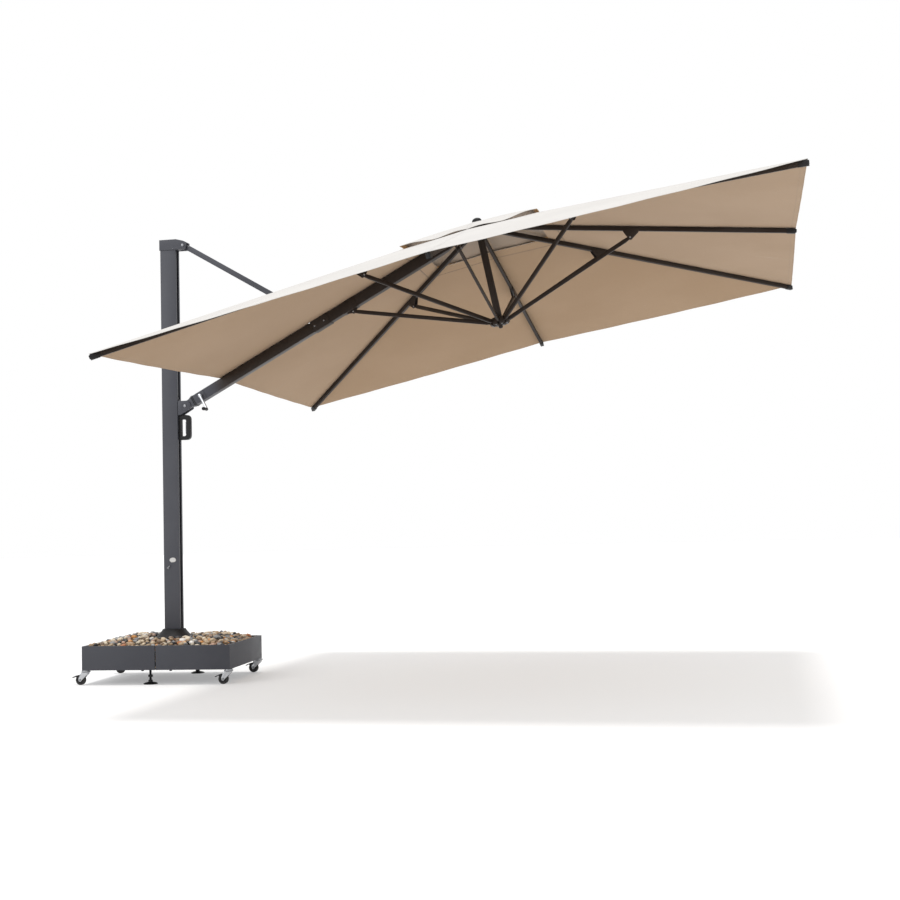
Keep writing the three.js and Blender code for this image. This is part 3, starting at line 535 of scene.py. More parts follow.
@once
def settled_dust():
    """Dust that lies on faces turned up, thicker in patches."""
    tree, wires, given, out = effect(
        "settled_dust", {"Vector": "Vector", "Amount": "Float"}, {"Dust": "Float"},
    )
    normal = wires.node("ShaderNodeNewGeometry").outputs["Normal"]
    up = wires.node("ShaderNodeSeparateXYZ", {0: normal}).outputs[2]
    level = wires.span(up, 0.35, 0.95)
    patches = wires.span(wires.noise(given["Vector"], 14.0, 5.0, 0.65), 0.35, 0.7)
    lying = wires.math("MULTIPLY", level, patches)
    wires.feed(out["Dust"], wires.math("MULTIPLY", lying, given["Amount"]))
    return tree


@once
def plain_weave():
    """Threads over and under each other, and slubs along them, from coordinates in metres."""
    tree, wires, given, out = effect(
        "plain_weave", {"Vector": "Vector", "Threads": "Float"}, {"Height": "Float", "Slub": "Float"},
    )
    parts = wires.node("ShaderNodeSeparateXYZ", {0: given["Vector"]}).outputs
    turns = wires.math("MULTIPLY", given["Threads"], math.pi)
    warp = wires.math("SINE", wires.math("MULTIPLY", parts[0], turns))
    weft = wires.math("SINE", wires.math("MULTIPLY", parts[1], turns))
    wires.feed(out["Height"], wires.math("ABSOLUTE", wires.math("MULTIPLY", warp, weft)))
    slubs = []
    for stretch in ((500, 30, 1), (30, 500, 1)):
        pulled = wires.node("ShaderNodeMapping", {"Vector": given["Vector"], "Scale": stretch}).outputs[0]
        slubs.append(wires.noise(pulled, 1.0, 2.0))
    wires.feed(out["Slub"], wires.math("MULTIPLY", wires.math("ADD", *slubs), 0.5))
    return tree


@once
def stitch_row():
    """A row of stitches where a distance passes a place, and the groove they pull in."""
    tree, wires, given, out = effect(
        "stitch_row", {"Distance": "Float", "Place": "Float", "Along": "Float"},
        {"Thread": "Float", "Groove": "Float"},
    )
    off = wires.math("ABSOLUTE", wires.math("SUBTRACT", given["Distance"], given["Place"]))
    groove = wires.span(off, 0.0022, 0.0004)
    beat = wires.math("FRACT", wires.math("MULTIPLY", given["Along"], 1 / 0.0045))
    dash = wires.math("LESS_THAN", beat, 0.68)
    line = wires.math("LESS_THAN", off, 0.0005)
    wires.feed(out["Thread"], wires.math("MULTIPLY", dash, line))
    wires.feed(out["Groove"], groove)
    return tree


def surface(name):
    """A new material with its wiring and its principled shader."""
    material = bpy.data.materials.new(name)
    material.use_nodes = True
    wires = Wiring(material.node_tree)
    shader = material.node_tree.nodes["Principled BSDF"]
    return material, wires, shader


def raise_bump(wires, shader, height, strength, distance):
    bump = wires.node("ShaderNodeBump", {"Strength": strength, "Distance": distance, "Height": height})
    wires.feed(shader.inputs["Normal"], bump.outputs[0])


# ---- Materials -------------------------------------------------------------

def metal():
    return bpy.context.scene.umbrella_metal


def cloth():
    return bpy.context.scene.umbrella_canopy


def bed():
    return bpy.context.scene.umbrella_base


def lighter(tint, share):
    return tuple(value + (1 - value) * share for value in tint)


def darker(tint, share):
    return tuple(value * (1 - share) for value in tint)


def powder_coat(name, tint, roughness, dust, wear=0.42, gloss=0.5, shade_fade=None):
    """Baked powder coat over metal: fine orange peel, rubbed edges and a little dust.

    A shade fade is painted shade: a direction, two distances along it and the shade colour that the coat
    turns to between them.
    """
    material, wires, shader = surface(name)
    where = wires.coordinates()
    grain = wires.group(coat_grain(), {"Vector": where, "Grain": 900.0})
    coat = wires.mix(grain["Tone"], darker(tint, 0.07), lighter(tint, 0.012))
    # Painted shade: the coat darkens towards the shade colour along the direction.
    if shade_fade:
        direction, start, end, other = shade_fade
        dot = wires.node("ShaderNodeVectorMath", {0: where, 1: direction}, operation="DOT_PRODUCT")
        coat = wires.mix(wires.span(dot.outputs["Value"], start, end), coat, other)
    worn = wires.group(edge_wear(), {"Vector": where, "Amount": wear, "Scale": 34.0})["Wear"]
    coat = wires.mix(wires.math("MULTIPLY", worn, 0.3), coat, lighter(tint, 0.12))
    lying = wires.group(settled_dust(), {"Vector": where, "Amount": dust})["Dust"]
    coat = wires.mix(lying, coat, (0.36, 0.33, 0.29))
    wires.feed(shader.inputs["Base Color"], coat)
    rough = wires.span(grain["Tone"], 0.0, 1.0, roughness - 0.05, roughness + 0.06)
    wires.feed(shader.inputs["Roughness"], wires.math("ADD", rough, wires.math("MULTIPLY", lying, 0.3)))
    shader.inputs["Specular IOR Level"].default_value = gloss
    raise_bump(wires, shader, grain["Height"], 0.16, 0.0004)
    return material


@once
def slate_coat():
    return powder_coat("slate_powder_coat", tuple(metal().grey), 0.44, 0.10)


@once
def tray_coat():
    return powder_coat("tray_powder_coat", darker(tuple(metal().grey), 0.18), 0.50, 0.10, gloss=0.4)


@once
def lower_boom_painted_shade_coat():
    """Slate grey at the slider, then painted shade that darkens it to bronze where the canopy shades it."""
    grey_run, blend_run = 0.17, 0.11
    start = BOOM_ALONG.dot(pivot("slider_pivot")) + grey_run
    shade_fade = (tuple(BOOM_ALONG), start, start + blend_run, tuple(metal().bronze))
    return powder_coat("lower_boom_painted_shade_powder_coat", tuple(metal().grey), 0.44, 0.05, gloss=0.35, shade_fade=shade_fade)


# Also painted shade on the upper boom tube, which has the lower tube's grey finish.
@once
def bronze_and_painted_shade_coat():
    return powder_coat("bronze_and_painted_shade_powder_coat", tuple(metal().bronze), 0.5, 0.03, gloss=0.2)


@once
def frame_coat():
    return powder_coat("frame_powder_coat", (0.02, 0.02, 0.021), 0.6, 0.3)


@once
def black_plastic():
    """Moulded plastic with a leather-like spark texture and pale scuffs on its edges."""
    material, wires, shader = surface("moulded_black_plastic")
    where = wires.coordinates()
    pits = wires.node(
        "ShaderNodeTexVoronoi", {"Vector": where, "Scale": 1100.0}, feature="SMOOTH_F1",
    ).outputs[0]
    cloud = wires.noise(where, 18.0, 3.0)
    tint = wires.mix(cloud, (0.006, 0.006, 0.007), (0.014, 0.014, 0.015))
    worn = wires.group(edge_wear(), {"Vector": where, "Amount": 0.40, "Scale": 60.0})["Wear"]
    wires.feed(shader.inputs["Base Color"], wires.mix(worn, tint, (0.045, 0.045, 0.048)))
    wires.feed(shader.inputs["Roughness"], wires.span(cloud, 0.2, 0.8, 0.42, 0.58))
    shader.inputs["Specular IOR Level"].default_value = 0.3
    raise_bump(wires, shader, pits, 0.3, 0.0003)
    return material


@once
def wheel_rubber():
    """Hard black rubber, greyed where it rolls."""
    material, wires, shader = surface("wheel_rubber")
    where = wires.coordinates()
    scuffs = wires.noise(where, 160.0, 4.0, 0.7)
    tint = wires.mix(wires.span(scuffs, 0.45, 0.75), (0.010, 0.010, 0.010), (0.06, 0.057, 0.052))
    wires.feed(shader.inputs["Base Color"], tint)
    wires.feed(shader.inputs["Roughness"], wires.span(scuffs, 0.2, 0.8, 0.62, 0.85))
    raise_bump(wires, shader, scuffs, 0.25, 0.0004)
    return material


def bright_metal(name, tint, roughness, stretch, spread):
    """Bare or plated metal with fine polishing lines and smudges."""
    material, wires, shader = surface(name)
    lines = wires.noise(wires.coordinates(stretch), 1.0, 3.0, 0.7)
    smudge = wires.noise(wires.coordinates(), 26.0, 3.0)
    wires.feed(shader.inputs["Base Color"], wires.mix(smudge, darker(tint, 0.18), tint))
    shader.inputs["Metallic"].default_value = 1.0
    rough = wires.span(lines, 0.2, 0.8, roughness - spread, roughness + spread)
    wires.feed(shader.inputs["Roughness"], wires.math("ADD", rough, wires.math("MULTIPLY", smudge, 0.06)))
    raise_bump(wires, shader, lines, 0.12, 0.0002)
    return material


@once
def chrome():
    return bright_metal("polished_chrome", (0.52, 0.53, 0.55), 0.12, (60, 60, 900), 0.05)


@once
def zinc():
    return bright_metal("zinc_plated_steel", (0.32, 0.325, 0.34), 0.36, (900, 900, 60), 0.10)


@once
def brushed_plate():
    return bright_metal("brushed_nickel", (0.62, 0.61, 0.59), 0.28, (40, 40, 2600), 0.12)


@once
def pebble_stone():
    """River stone: each pebble has its own tint, with speckles, bands and a smooth water-worn skin."""
    material, wires, shader = surface("river_pebbles")
    where = wires.coordinates()
    tint = wires.attribute("stone_tint", "Color")
    speckle = wires.noise(where, 420.0, 3.0, 0.7)
    bands = wires.noise(wires.coordinates((60, 25, 190)), 1.0, 4.0, 0.6)
    dark = wires.mix(0.42, tint, (0.05, 0.04, 0.03))
    body = wires.mix(wires.span(speckle, 0.56, 0.72), tint, dark)
    pale = wires.mix(0.25, body, (0.86, 0.80, 0.70))
    body = wires.mix(wires.span(bands, 0.56, 0.66), body, pale)
    wires.feed(shader.inputs["Base Color"], body)
    wires.feed(shader.inputs["Roughness"], wires.span(bands, 0.3, 0.7, 0.34, 0.56))
    raise_bump(wires, shader, speckle, 0.2, 0.0006)
    return material


def canvas(name, tint, roughness, painted_shade_tint=None):
    """Woven canvas: threads, slubs, faint water marks, stitched hem and seams.

    A painted shade tint covers the cloth out to a line near its border, and the main tint shows beyond it.
    """
    material, wires, shader = surface(name)
    uv = wires.node("ShaderNodeUVMap", uv_map="cut").outputs[0]
    parts = wires.node("ShaderNodeSeparateXYZ", {0: uv}).outputs
    along, out_from_hub = parts[0], parts[1]
    weave = wires.group(plain_weave(), {"Vector": uv, "Threads": 900.0})
    marks = wires.noise(uv, 1.6, 6.0)
    ground = wires.mix(wires.span(marks, 0.35, 0.65), darker(tint, 0.05), lighter(tint, 0.02))
    # Painted shade: the vent's inner face is greyed inward of its border, where it lies in shade.
    if painted_shade_tint:
        border = VENT_LINES[0][1].x * 0.91
        ground = wires.mix(wires.span(out_from_hub, border, border + 20 * MM), painted_shade_tint, ground)
    slubs = wires.math("MULTIPLY", wires.span(weave["Slub"], 0.45, 0.7), 0.25)
    ground = wires.mix(slubs, ground, darker(tint, 0.2))
    hem_line = HALF_SIDE - cloth().hem + 3 * MM
    edge_line = HALF_SIDE - 5 * MM
    seam_ring_line = FACING_SHARE * HALF_SIDE
    seam = wires.attribute("from_rib")
    off_seam = wires.math("ABSOLUTE", wires.math("SUBTRACT", out_from_hub, seam_ring_line))
    ground = wires.mix(wires.span(off_seam, 2.5 * MM, 4.5 * MM), darker(tint, 0.5), ground)
    rows = [
        (out_from_hub, hem_line, along), (out_from_hub, edge_line, along),
        (out_from_hub, seam_ring_line, along), (out_from_hub, seam_ring_line + 7 * MM, along),
        (seam, 5 * MM, out_from_hub), (seam, 11 * MM, out_from_hub),
    ]
    thread = groove = None
    for distance, place, run in rows:
        row = wires.group(stitch_row(), {"Distance": distance, "Place": place, "Along": run})
        thread = row["Thread"] if thread is None else wires.math("MAXIMUM", thread, row["Thread"])
        groove = row["Groove"] if groove is None else wires.math("MAXIMUM", groove, row["Groove"])
    # Painted shade: the stitch grooves are darkened in colour as well as pressed in by the bump.
    ground = wires.mix(wires.math("MULTIPLY", groove, 0.35), ground, darker(tint, 0.55))
    ground = wires.mix(wires.math("MULTIPLY", thread, 0.8), ground, lighter(tint, 0.08))
    wires.feed(shader.inputs["Base Color"], ground)
    wires.feed(shader.inputs["Roughness"], wires.span(marks, 0.3, 0.7, roughness - 0.04, roughness + 0.03))
    shader.inputs["Sheen Weight"].default_value = 0.12
    shader.inputs["Sheen Roughness"].default_value = 0.5
    relief = wires.math("SUBTRACT", wires.math("MULTIPLY", weave["Height"], 0.25), groove)
    relief = wires.math("ADD", relief, wires.math("MULTIPLY", thread, 1.2))
    raise_bump(wires, shader, relief, 0.4, 0.0005)
    return material


@once
def ivory_canvas():
    return canvas("ivory_canvas", tuple(cloth().ivory), 0.86)


# The inner face's tan is painted shade with warm light through the cloth, over ivory cloth.
@once
def underside_painted_shade_canvas():
    return canvas("underside_painted_shade_canvas", tuple(cloth().tan), 0.88)


# Painted light on the vent's inner face: orange glow of light through the cloth at its edge, painted shade
# inward of it.
@once
def vent_painted_glow_and_shade_canvas():
    # The greyish taupe given here is painted shade for the shaded inside of the vent.
    return canvas("vent_painted_glow_and_shade_canvas", tuple(cloth().vent), 0.88, painted_shade_tint=(0.30, 0.235, 0.18))


@once
def studio_floor():
    material, wires, shader = surface("studio_floor")
    cloud = wires.noise(wires.coordinates(), 0.7, 3.0)
    tint = tuple(bpy.context.scene.umbrella_stage.floor)
    wires.feed(shader.inputs["Base Color"], wires.mix(cloud, darker(tint, 0.012), tint))
    shader.inputs["Roughness"].default_value = 0.7
    shader.inputs["Specular IOR Level"].default_value = 0.25
    wires.feed(shader.inputs["Emission Color"], (1.0, 1.0, 1.0))
    shader.inputs["Emission Strength"].default_value = bpy.context.scene.umbrella_stage.glow
    return material


# ---- Base ------------------------------------------------------------------

class UMBRELLA_OT_trays(bpy.types.Operator):
    """Finish the two tray halves, the crossed bars and the spindle"""

    bl_idname = "umbrella.trays"
    bl_label = "Trays"

    def execute(self, context):
        for half in ("left", "right"):
            dressed(f"tray_{half}", tray_coat(), "tray_steel", 1.3 * MM, 3)
        dressed("cross_frame", frame_coat(), "frame_steel", 2 * MM)
        dressed("spindle", zinc(), "zinc_steel")
        self.bolts()
        self.rivets()
        return {"FINISHED"}

    def bolts(self):
        """Bolts under the trays that hold the crossed bars."""
        places = []
        for x in (-82 * MM, 82 * MM):
            for side in (-1, 1):
                spot = BASE @ Vector((x, side * (TRAY_Y - 22 * MM), TRAY_BOTTOM))
                places.append(aim(spot, (0, 0, -1)))
        bolts = copies(hex_head("bolt", 8 * MM, 7 * MM), "tray_bolts", places)
        fitted(painted(bolts, frame_coat()), "base", "frame_steel")

    def rivets(self):
        """Two rivets down each corner lap."""
        places = []
        for x in (-1, 1):
            for y in (-1, 1):
                for z in (TRAY_BOTTOM + 22 * MM, TRAY_TOP - 24 * MM):
                    spot = BASE @ Vector((x * TRAY_X, y * (TRAY_Y - 14 * MM), z))
                    places.append(aim(spot, BASE_ALONG * x))
        head = dome_head("rivet", 3.6 * MM, 1.8 * MM)
        smooth(head)
        fitted(painted(copies(head, "tray_rivets", places), tray_coat()), "base", "tray_steel")


STONE_TINTS = (
    ((0.62, 0.50, 0.35), 5), ((0.50, 0.37, 0.23), 5), ((0.70, 0.61, 0.47), 4), ((0.36, 0.24, 0.14), 4),
    ((0.20, 0.13, 0.08), 3), ((0.030, 0.030, 0.034), 4), ((0.16, 0.16, 0.17), 3), ((0.33, 0.33, 0.33), 2),
    ((0.42, 0.15, 0.05), 1), ((0.60, 0.27, 0.07), 1), ((0.74, 0.72, 0.68), 2), ((0.46, 0.30, 0.22), 2),
)


def heap_height(x, y):
    """Height of the top of the pebbles over a spot in the base, low round the skirt so that it turns."""
    skirt_hollow, hollow_bank = 135 * MM, 50 * MM
    wall = min(TRAY_X - abs(x), TRAY_Y - abs(y))
    rise = bed().crown * min(1, max(0, wall - 20 * MM) / (170 * MM)) ** 0.75
    near = min(1, max(0, math.hypot(x, y) - skirt_hollow) / hollow_bank)
    return TRAY_TOP + 10 * MM + (rise - 12 * MM) * near


def pebble_places(rng):
    """Middles and half sizes of all the pebbles, in the base's frame."""
    size = bed().stone
    step = size * 0.74
    row_step = step * 0.87
    places = []
    clear_x, clear_y = TRAY_X - 22 * MM, TRAY_Y - 22 * MM
    for layer in range(3):
        rows = int(2 * clear_y / row_step) + 1
        for row in range(rows):
            y = -clear_y + row * row_step
            x = -clear_x + (row % 2) * step / 2
            while x < clear_x:
                px = x + rng.uniform(-0.28, 0.28) * step
                py = y + rng.uniform(-0.28, 0.28) * step
                half = size / 2 * rng.uniform(0.62, 1.12)
                x += step
                reach = math.hypot(px, py)
                if reach < 0.1 or abs(px) > clear_x or abs(py) > clear_y:
                    continue
                top = heap_height(px, py) - layer * size * 0.42 + rng.uniform(-0.006, 0.004)
                places.append((px, py, top - half * 0.62, half))
    # Where the seam between the halves shows the pebbles edge on, they go down to the floor.
    for side in (-1, 1):
        for column in range(7):
            for storey in range(8):
                half = size / 2 * rng.uniform(0.55, 0.8)
                px = rng.uniform(-0.008, 0.008)
                py = side * (TRAY_Y - 0.02 - column * 0.024)
                pz = TRAY_BOTTOM + 0.014 + storey * 0.0165
                places.append((px, py, pz, half))
    return places


class UMBRELLA_OT_pebbles(bpy.types.Operator):
    """Fill the trays with loose river pebbles"""

    bl_idname = "umbrella.pebbles"
    bl_label = "Pebbles"

    def execute(self, context):
        rng = random.Random(bed().seed)
        bpy.ops.object.select_all(action="DESELECT")
        bpy.ops.mesh.primitive_cube_add(size=1)
        stone = fresh("pebble")
        with editing(stone):
            bpy.ops.mesh.subdivide(number_cuts=1)
            bpy.ops.transform.tosphere(value=1)
        one = np.array([v.co for v in stone.data.vertices])
        one /= np.linalg.norm(one, axis=1).max()
        faces = np.array([p.vertices for p in stone.data.polygons])
        bpy.data.objects.remove(stone)
        tints = [tint for tint, share in STONE_TINTS for _ in range(share)]
        points, quads, colours = [], [], []
        for x, y, z, half in pebble_places(rng):
            shape = np.array([1.0, rng.uniform(0.66, 0.92), rng.uniform(0.45, 0.68)]) * half
            lumps = one * (1 + 0.09 * np.sin(one[:, [1, 2, 0]] * rng.uniform(2, 5) + rng.uniform(0, 6)))
            turn = Matrix.Rotation(rng.uniform(-0.45, 0.45), 3, "X")
            turn = turn @ Matrix.Rotation(rng.uniform(-0.45, 0.45), 3, "Y")
            turn = np.array(turn @ Matrix.Rotation(rng.uniform(0, math.tau), 3, "Z"))
            quads.append(faces + len(points) * len(one))
            points.append((lumps * shape) @ turn.T + (x, y, z))
            tint = np.array(rng.choice(tints)) * rng.uniform(0.75, 1.15)
            colours.append(np.tile(np.append(tint.clip(0, 1), 1), (len(one), 1)))
        mesh = bpy.data.meshes.new("pebbles")
        mesh.from_pydata(np.concatenate(points).tolist(), [], np.concatenate(quads).tolist())
        attribute = mesh.attributes.new("stone_tint", "FLOAT_COLOR", "POINT")
        attribute.data.foreach_set("color", np.concatenate(colours).astype(np.float32).ravel())
        mesh.transform(BASE)
        pebbles = bpy.data.objects.new("pebbles", mesh)
        context.scene.collection.objects.link(pebbles)
        only(pebbles)
        bpy.ops.object.shade_smooth()
        fitted(painted(pebbles, pebble_stone()), "base", "pebbles", "pebble_fill")
        return {"FINISHED"}


def tyre(radius, width):
    """A caster's solid tyre with grooves round its tread, about Z."""
    half = width / 2
    groove, lip = radius - 1.4 * MM, radius - 3 * MM
    bore, shoulder = radius * 0.62, radius - 0.8 * MM
    profile = [(bore, -half), (lip, -half), (shoulder, 1.6 * MM - half), (radius, 3 * MM - half)]
    for z in (-0.22, 0.22):
        middle = z * width
        profile += [(radius, middle - 1.8 * MM), (groove, middle - 1.2 * MM)]
        profile += [(groove, middle + 1.2 * MM), (radius, middle + 1.8 * MM)]
    profile += [(radius, half - 3 * MM), (shoulder, half - 1.6 * MM), (lip, half), (bore, half)]
    return bored(turned("tyre", profile, 48))


def wheel_centre(radius, width):
    """The moulded centre of a caster's wheel: rim, dished web and axle boss, about Z."""
    half = width / 2
    face = [
        (4 * MM, half + 0.4 * MM), (radius * 0.24, half + 0.4 * MM), (radius * 0.30, half - 2.5 * MM),
        (radius * 0.54, half - 2.5 * MM), (radius * 0.60, half + 0.2 * MM), (radius * 0.66, half + 0.2 * MM),
    ]
    profile = [(reach, -height) for reach, height in face] + face[::-1]
    return turned("wheel_centre", profile, 36)


class UMBRELLA_OT_casters(bpy.types.Operator):
    """Build the four braked casters"""

    bl_idname = "umbrella.casters"
    bl_label = "Casters"

    def execute(self, context):
        low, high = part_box("caster_wheel_near_left")
        radius = (high.z - low.z) / 2
        width = 22 * MM
        for name in CORNERS:
            wheel, fork, brake = f"caster_wheel_{name}", f"caster_fork_{name}", f"caster_brake_{name}"
            hub = pivot(f"wheel_spin_{name}")
            place = aim(hub, BASE_ACROSS)
            parts = [tyre(radius, width), wheel_centre(radius, width)]
            for part, finish in zip(parts, (wheel_rubber(), black_plastic())):
                part.data.transform(place)
                smooth(part, 40)
                painted(part, finish)
            fitted(joined(f"{wheel}_finished", *parts), f"wheel_{name}", "wheel_rubber", wheel)
            dressed(fork, chrome(), "chrome", 0.9 * MM)
            self.fork_trim(name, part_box(fork)[1].z)
            dressed(brake, black_plastic(), "black_plastic", 1.0 * MM)
            self.pedal_grip(name)
        return {"FINISHED"}

    def fork_trim(self, name, top):
        """The axle's nuts, the swivel's race and the kingpin under it."""
        hub = pivot(f"wheel_spin_{name}")
        swivel = pivot(f"caster_swivel_{name}")
        fork_side = 15.4 * MM
        nuts = [aim(hub + BASE_ACROSS * fork_side * side, BASE_ACROSS * side) for side in (-1, 1)]
        nut = copies(hex_head("nut", 5 * MM, 5 * MM), "axle_nuts", nuts)
        race = turned("race", [
            (21 * MM, 0), (25 * MM, 1.5 * MM), (25.6 * MM, 4 * MM), (25 * MM, 6.5 * MM), (21 * MM, 8 * MM),
        ], 40)
        race.data.transform(aim(swivel + Vector((0, 0, top - 11 * MM))))
        king = dome_head("kingpin", 6 * MM, 4 * MM)
        king.data.transform(aim(swivel + Vector((0, 0, top - 17 * MM)), (0, 0, -1)))
        trim = joined(f"caster_trim_{name}", nut, race, king)
        smooth(trim)
        fitted(painted(trim, zinc()), f"caster_{name}", "chrome")

    def pedal_grip(self, name):
        """Five ribs across the pedal's sloping tread."""
        tilt = Matrix.Rotation(math.radians(-14), 4, "Y")
        slope = Matrix.Rotation(math.radians(-9), 4, "Y")
        hinge = basis(BASE_ALONG, BASE_ACROSS, pivot(f"brake_press_{name}"))
        bars = []
        for index in range(5):
            along = (-31 + index * 4.2) * MM
            bar = block("grip", (along - 0.9 * MM, -12 * MM, 0), (along + 0.9 * MM, 12 * MM, 2.2 * MM))
            rounded(bar, 0.5 * MM)
            rise = (4.2 + index * 0.85) * MM
            bar.data.transform(hinge @ tilt @ Matrix.Translation((0, 0, rise)) @ slope)
            bars.append(bar)
        grip = joined(f"pedal_grip_{name}", *bars)
        smooth(grip)
        fitted(painted(grip, black_plastic()), f"brake_{name}", "black_plastic")


class UMBRELLA_OT_feet(bpy.types.Operator):
    """Build the levelling feet with their knurled collars"""

    bl_idname = "umbrella.feet"
    bl_label = "Levelling feet"

    def execute(self, context):
        for name in FEET:
            node = f"levelling_foot_{name}"
            low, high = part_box(node)
            pad = (high.x - low.x) / 2
            profile = [
                (pad - 1.5 * MM, 0), (pad, 1.5 * MM), (pad, 3.5 * MM), (pad - 3 * MM, 5.5 * MM),
                (pad - 12 * MM, 9 * MM), (16 * MM, 11 * MM), (12.5 * MM, 13 * MM), (12 * MM, 16 * MM),
                (12 * MM, 23 * MM), (8 * MM, 23.6 * MM),
            ]
            foot = turned(f"{node}_finished", profile, 48)
            thread = self.thread(23 * MM, high.z - low.z, 7 * MM)
            collar = self.collar()
            for part in (thread, collar):
                smooth(part)
            smooth(foot)
            whole = joined(f"{node}_finished", foot, thread, collar)
            whole.data.transform(Matrix.Translation(Vector((*middle_of(node).xy, low.z))))
            fitted(painted(whole, black_plastic()), f"foot_{name}", "black_plastic", node)
        return {"FINISHED"}

    def thread(self, start, end, radius):
        """The screwed stem, its thread as rings."""
        pitch = 2.5 * MM
        profile = [(radius * 0.8, start)]
        height = start
        while height + pitch < end - 2 * MM:
            profile += [(radius, height + pitch * 0.35), (radius, height + pitch * 0.5)]
            height += pitch
            profile.append((radius * 0.84, height))
        profile.append((radius * 0.7, end))
        return turned("stem", profile, 20)

    def collar(self):
        """The knurled collar that locks the stem."""
        radius, low, high, edge = 13 * MM, 40 * MM, 52 * MM, 1.5 * MM
        collar = turned("collar", [
            (radius - edge, low), (radius, low + edge), (radius, high - edge), (radius - edge, high),
        ], 36)
        for vertex in collar.data.vertices:
            angle = math.atan2(vertex.co.y, vertex.co.x)
            if vertex.co.xy.length > radius - 2 * MM and round(angle / math.tau * 36) % 2:
                vertex.co.x *= 0.93
                vertex.co.y *= 0.93
        return collar


# ---- Mast ------------------------------------------------------------------

class UMBRELLA_OT_mast(bpy.types.Operator):
    """Finish the post, its cap, foot, skirt and the strut"""

    bl_idname = "umbrella.mast"
    bl_label = "Mast"

    def execute(self, context):
        dressed("post_tube", slate_coat(), "grey_aluminium", 1.3 * MM, 3)
        dressed("post_cap", slate_coat(), "grey_aluminium", 2.2 * MM, 3)
        dressed("post_foot", zinc(), "zinc_steel")
        self.pedal()
        dressed("strut", slate_coat(), "grey_aluminium", 1.6 * MM, 3)
        dressed("strut_pin", zinc(), "zinc_steel", 0.8 * MM)
        self.skirt()
        self.badge()
        self.hook()
        return {"FINISHED"}

    def skirt(self):
        """A smooth moulded dome with a square opening for the post."""
        low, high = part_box("post_skirt")
        rim = (high.x - low.x) / 2
        tall = high.z - low.z
        profile = [(rim - 3 * MM, 0), (rim - 0.8 * MM, 0.6 * MM), (rim, 2.4 * MM), (rim - 0.4 * MM, 5 * MM)]
        neck = 68 * MM
        for step in range(1, 9):
            share = step / 9
            radius = rim - 3 * MM - (rim - neck - 3 * MM) * (share ** 0.85)
            profile.append((radius, 6 * MM + (tall - 12 * MM) * share ** 1.15))
        profile += [(neck, tall - 4 * MM), (neck - 1.5 * MM, tall - 1.2 * MM), (neck - 5 * MM, tall)]
        skirt = turned("post_skirt_finished", profile, 72)
        skirt.data.transform(Matrix.Translation((POST_AXIS.x, POST_AXIS.y, low.z)))
        post_low, post_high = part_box("post_tube")
        gap = Vector((0.3 * MM, 0.3 * MM, 10 * MM))
        tool = block("opening", Vector((*post_low.xy, low.z)) - gap, Vector((*post_high.xy, high.z)) + gap)
        finished_by(skirt, "BOOLEAN", operation="DIFFERENCE", object=tool, solver="EXACT")
        bpy.data.objects.remove(tool)
        smooth(skirt, 30)
        fitted(painted(skirt, black_plastic()), "mast", "black_plastic", "post_skirt")

    def pedal(self):
        """The foot lever, drawn in so that only its tread stands out from under the skirt."""
        lever = merged_copy("swivel_pedal")
        rim, drawn_in, flattened = 104 * MM, 0.38, 0.55
        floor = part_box("swivel_pedal")[0].z
        for vertex in lever.data.vertices:
            reach = POST_AXIS.x - vertex.co.x
            if reach > rim:
                vertex.co.x = POST_AXIS.x - rim - (reach - rim) * drawn_in
                vertex.co.z = floor + (vertex.co.z - floor) * flattened
        rounded(lever, 2 * MM)
        smooth(lever)
        fitted(painted(lever, black_plastic()), "pedal", "black_plastic", "swivel_pedal")

    def badge(self):
        """A blank oval plate on the post's near face."""
        spot = Vector((POST_AXIS.x + 8 * MM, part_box("post_tube")[0].y, 687 * MM))
        badge = turned("badge_plate", [
            (1, -0.5 * MM), (1, 1.2 * MM), (0.93, 2 * MM), (0.86, 2 * MM), (0.82, 1.3 * MM), (0.3, 1.6 * MM),
        ], 48)
        stretch = Matrix.Diagonal((20 * MM, 14 * MM, 1, 1))
        badge.data.transform(aim(spot, (0, -1, 0)) @ stretch)
        smooth(badge)
        fitted(painted(badge, brushed_plate()), "mast", "chrome")

    def hook(self):
        """A small hook under the plate."""
        foot = Vector((POST_AXIS.x - 22 * MM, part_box("post_tube")[0].y, 641 * MM))
        flange, neck = 5.5 * MM, 3 * MM
        stem = turned("hook_stem", [
            (flange, -1 * MM), (flange, 1.4 * MM), (neck, 2.2 * MM), (neck, 11 * MM), (neck / 2, 12 * MM),
        ], 20)
        stem.data.transform(aim(foot, (0, -1, 0)))
        tongue = block("hook_tongue", (-2.4 * MM, 0, 7.5 * MM), (2.4 * MM, 19 * MM, 10.5 * MM))
        rounded(tongue, 1.1 * MM, segments=3)
        tongue.data.transform(aim(foot, (0, -1, 0), math.radians(-50)))
        hook = joined("post_hook", stem, tongue)
        smooth(hook)
        fitted(painted(hook, zinc()), "mast", "zinc_steel")


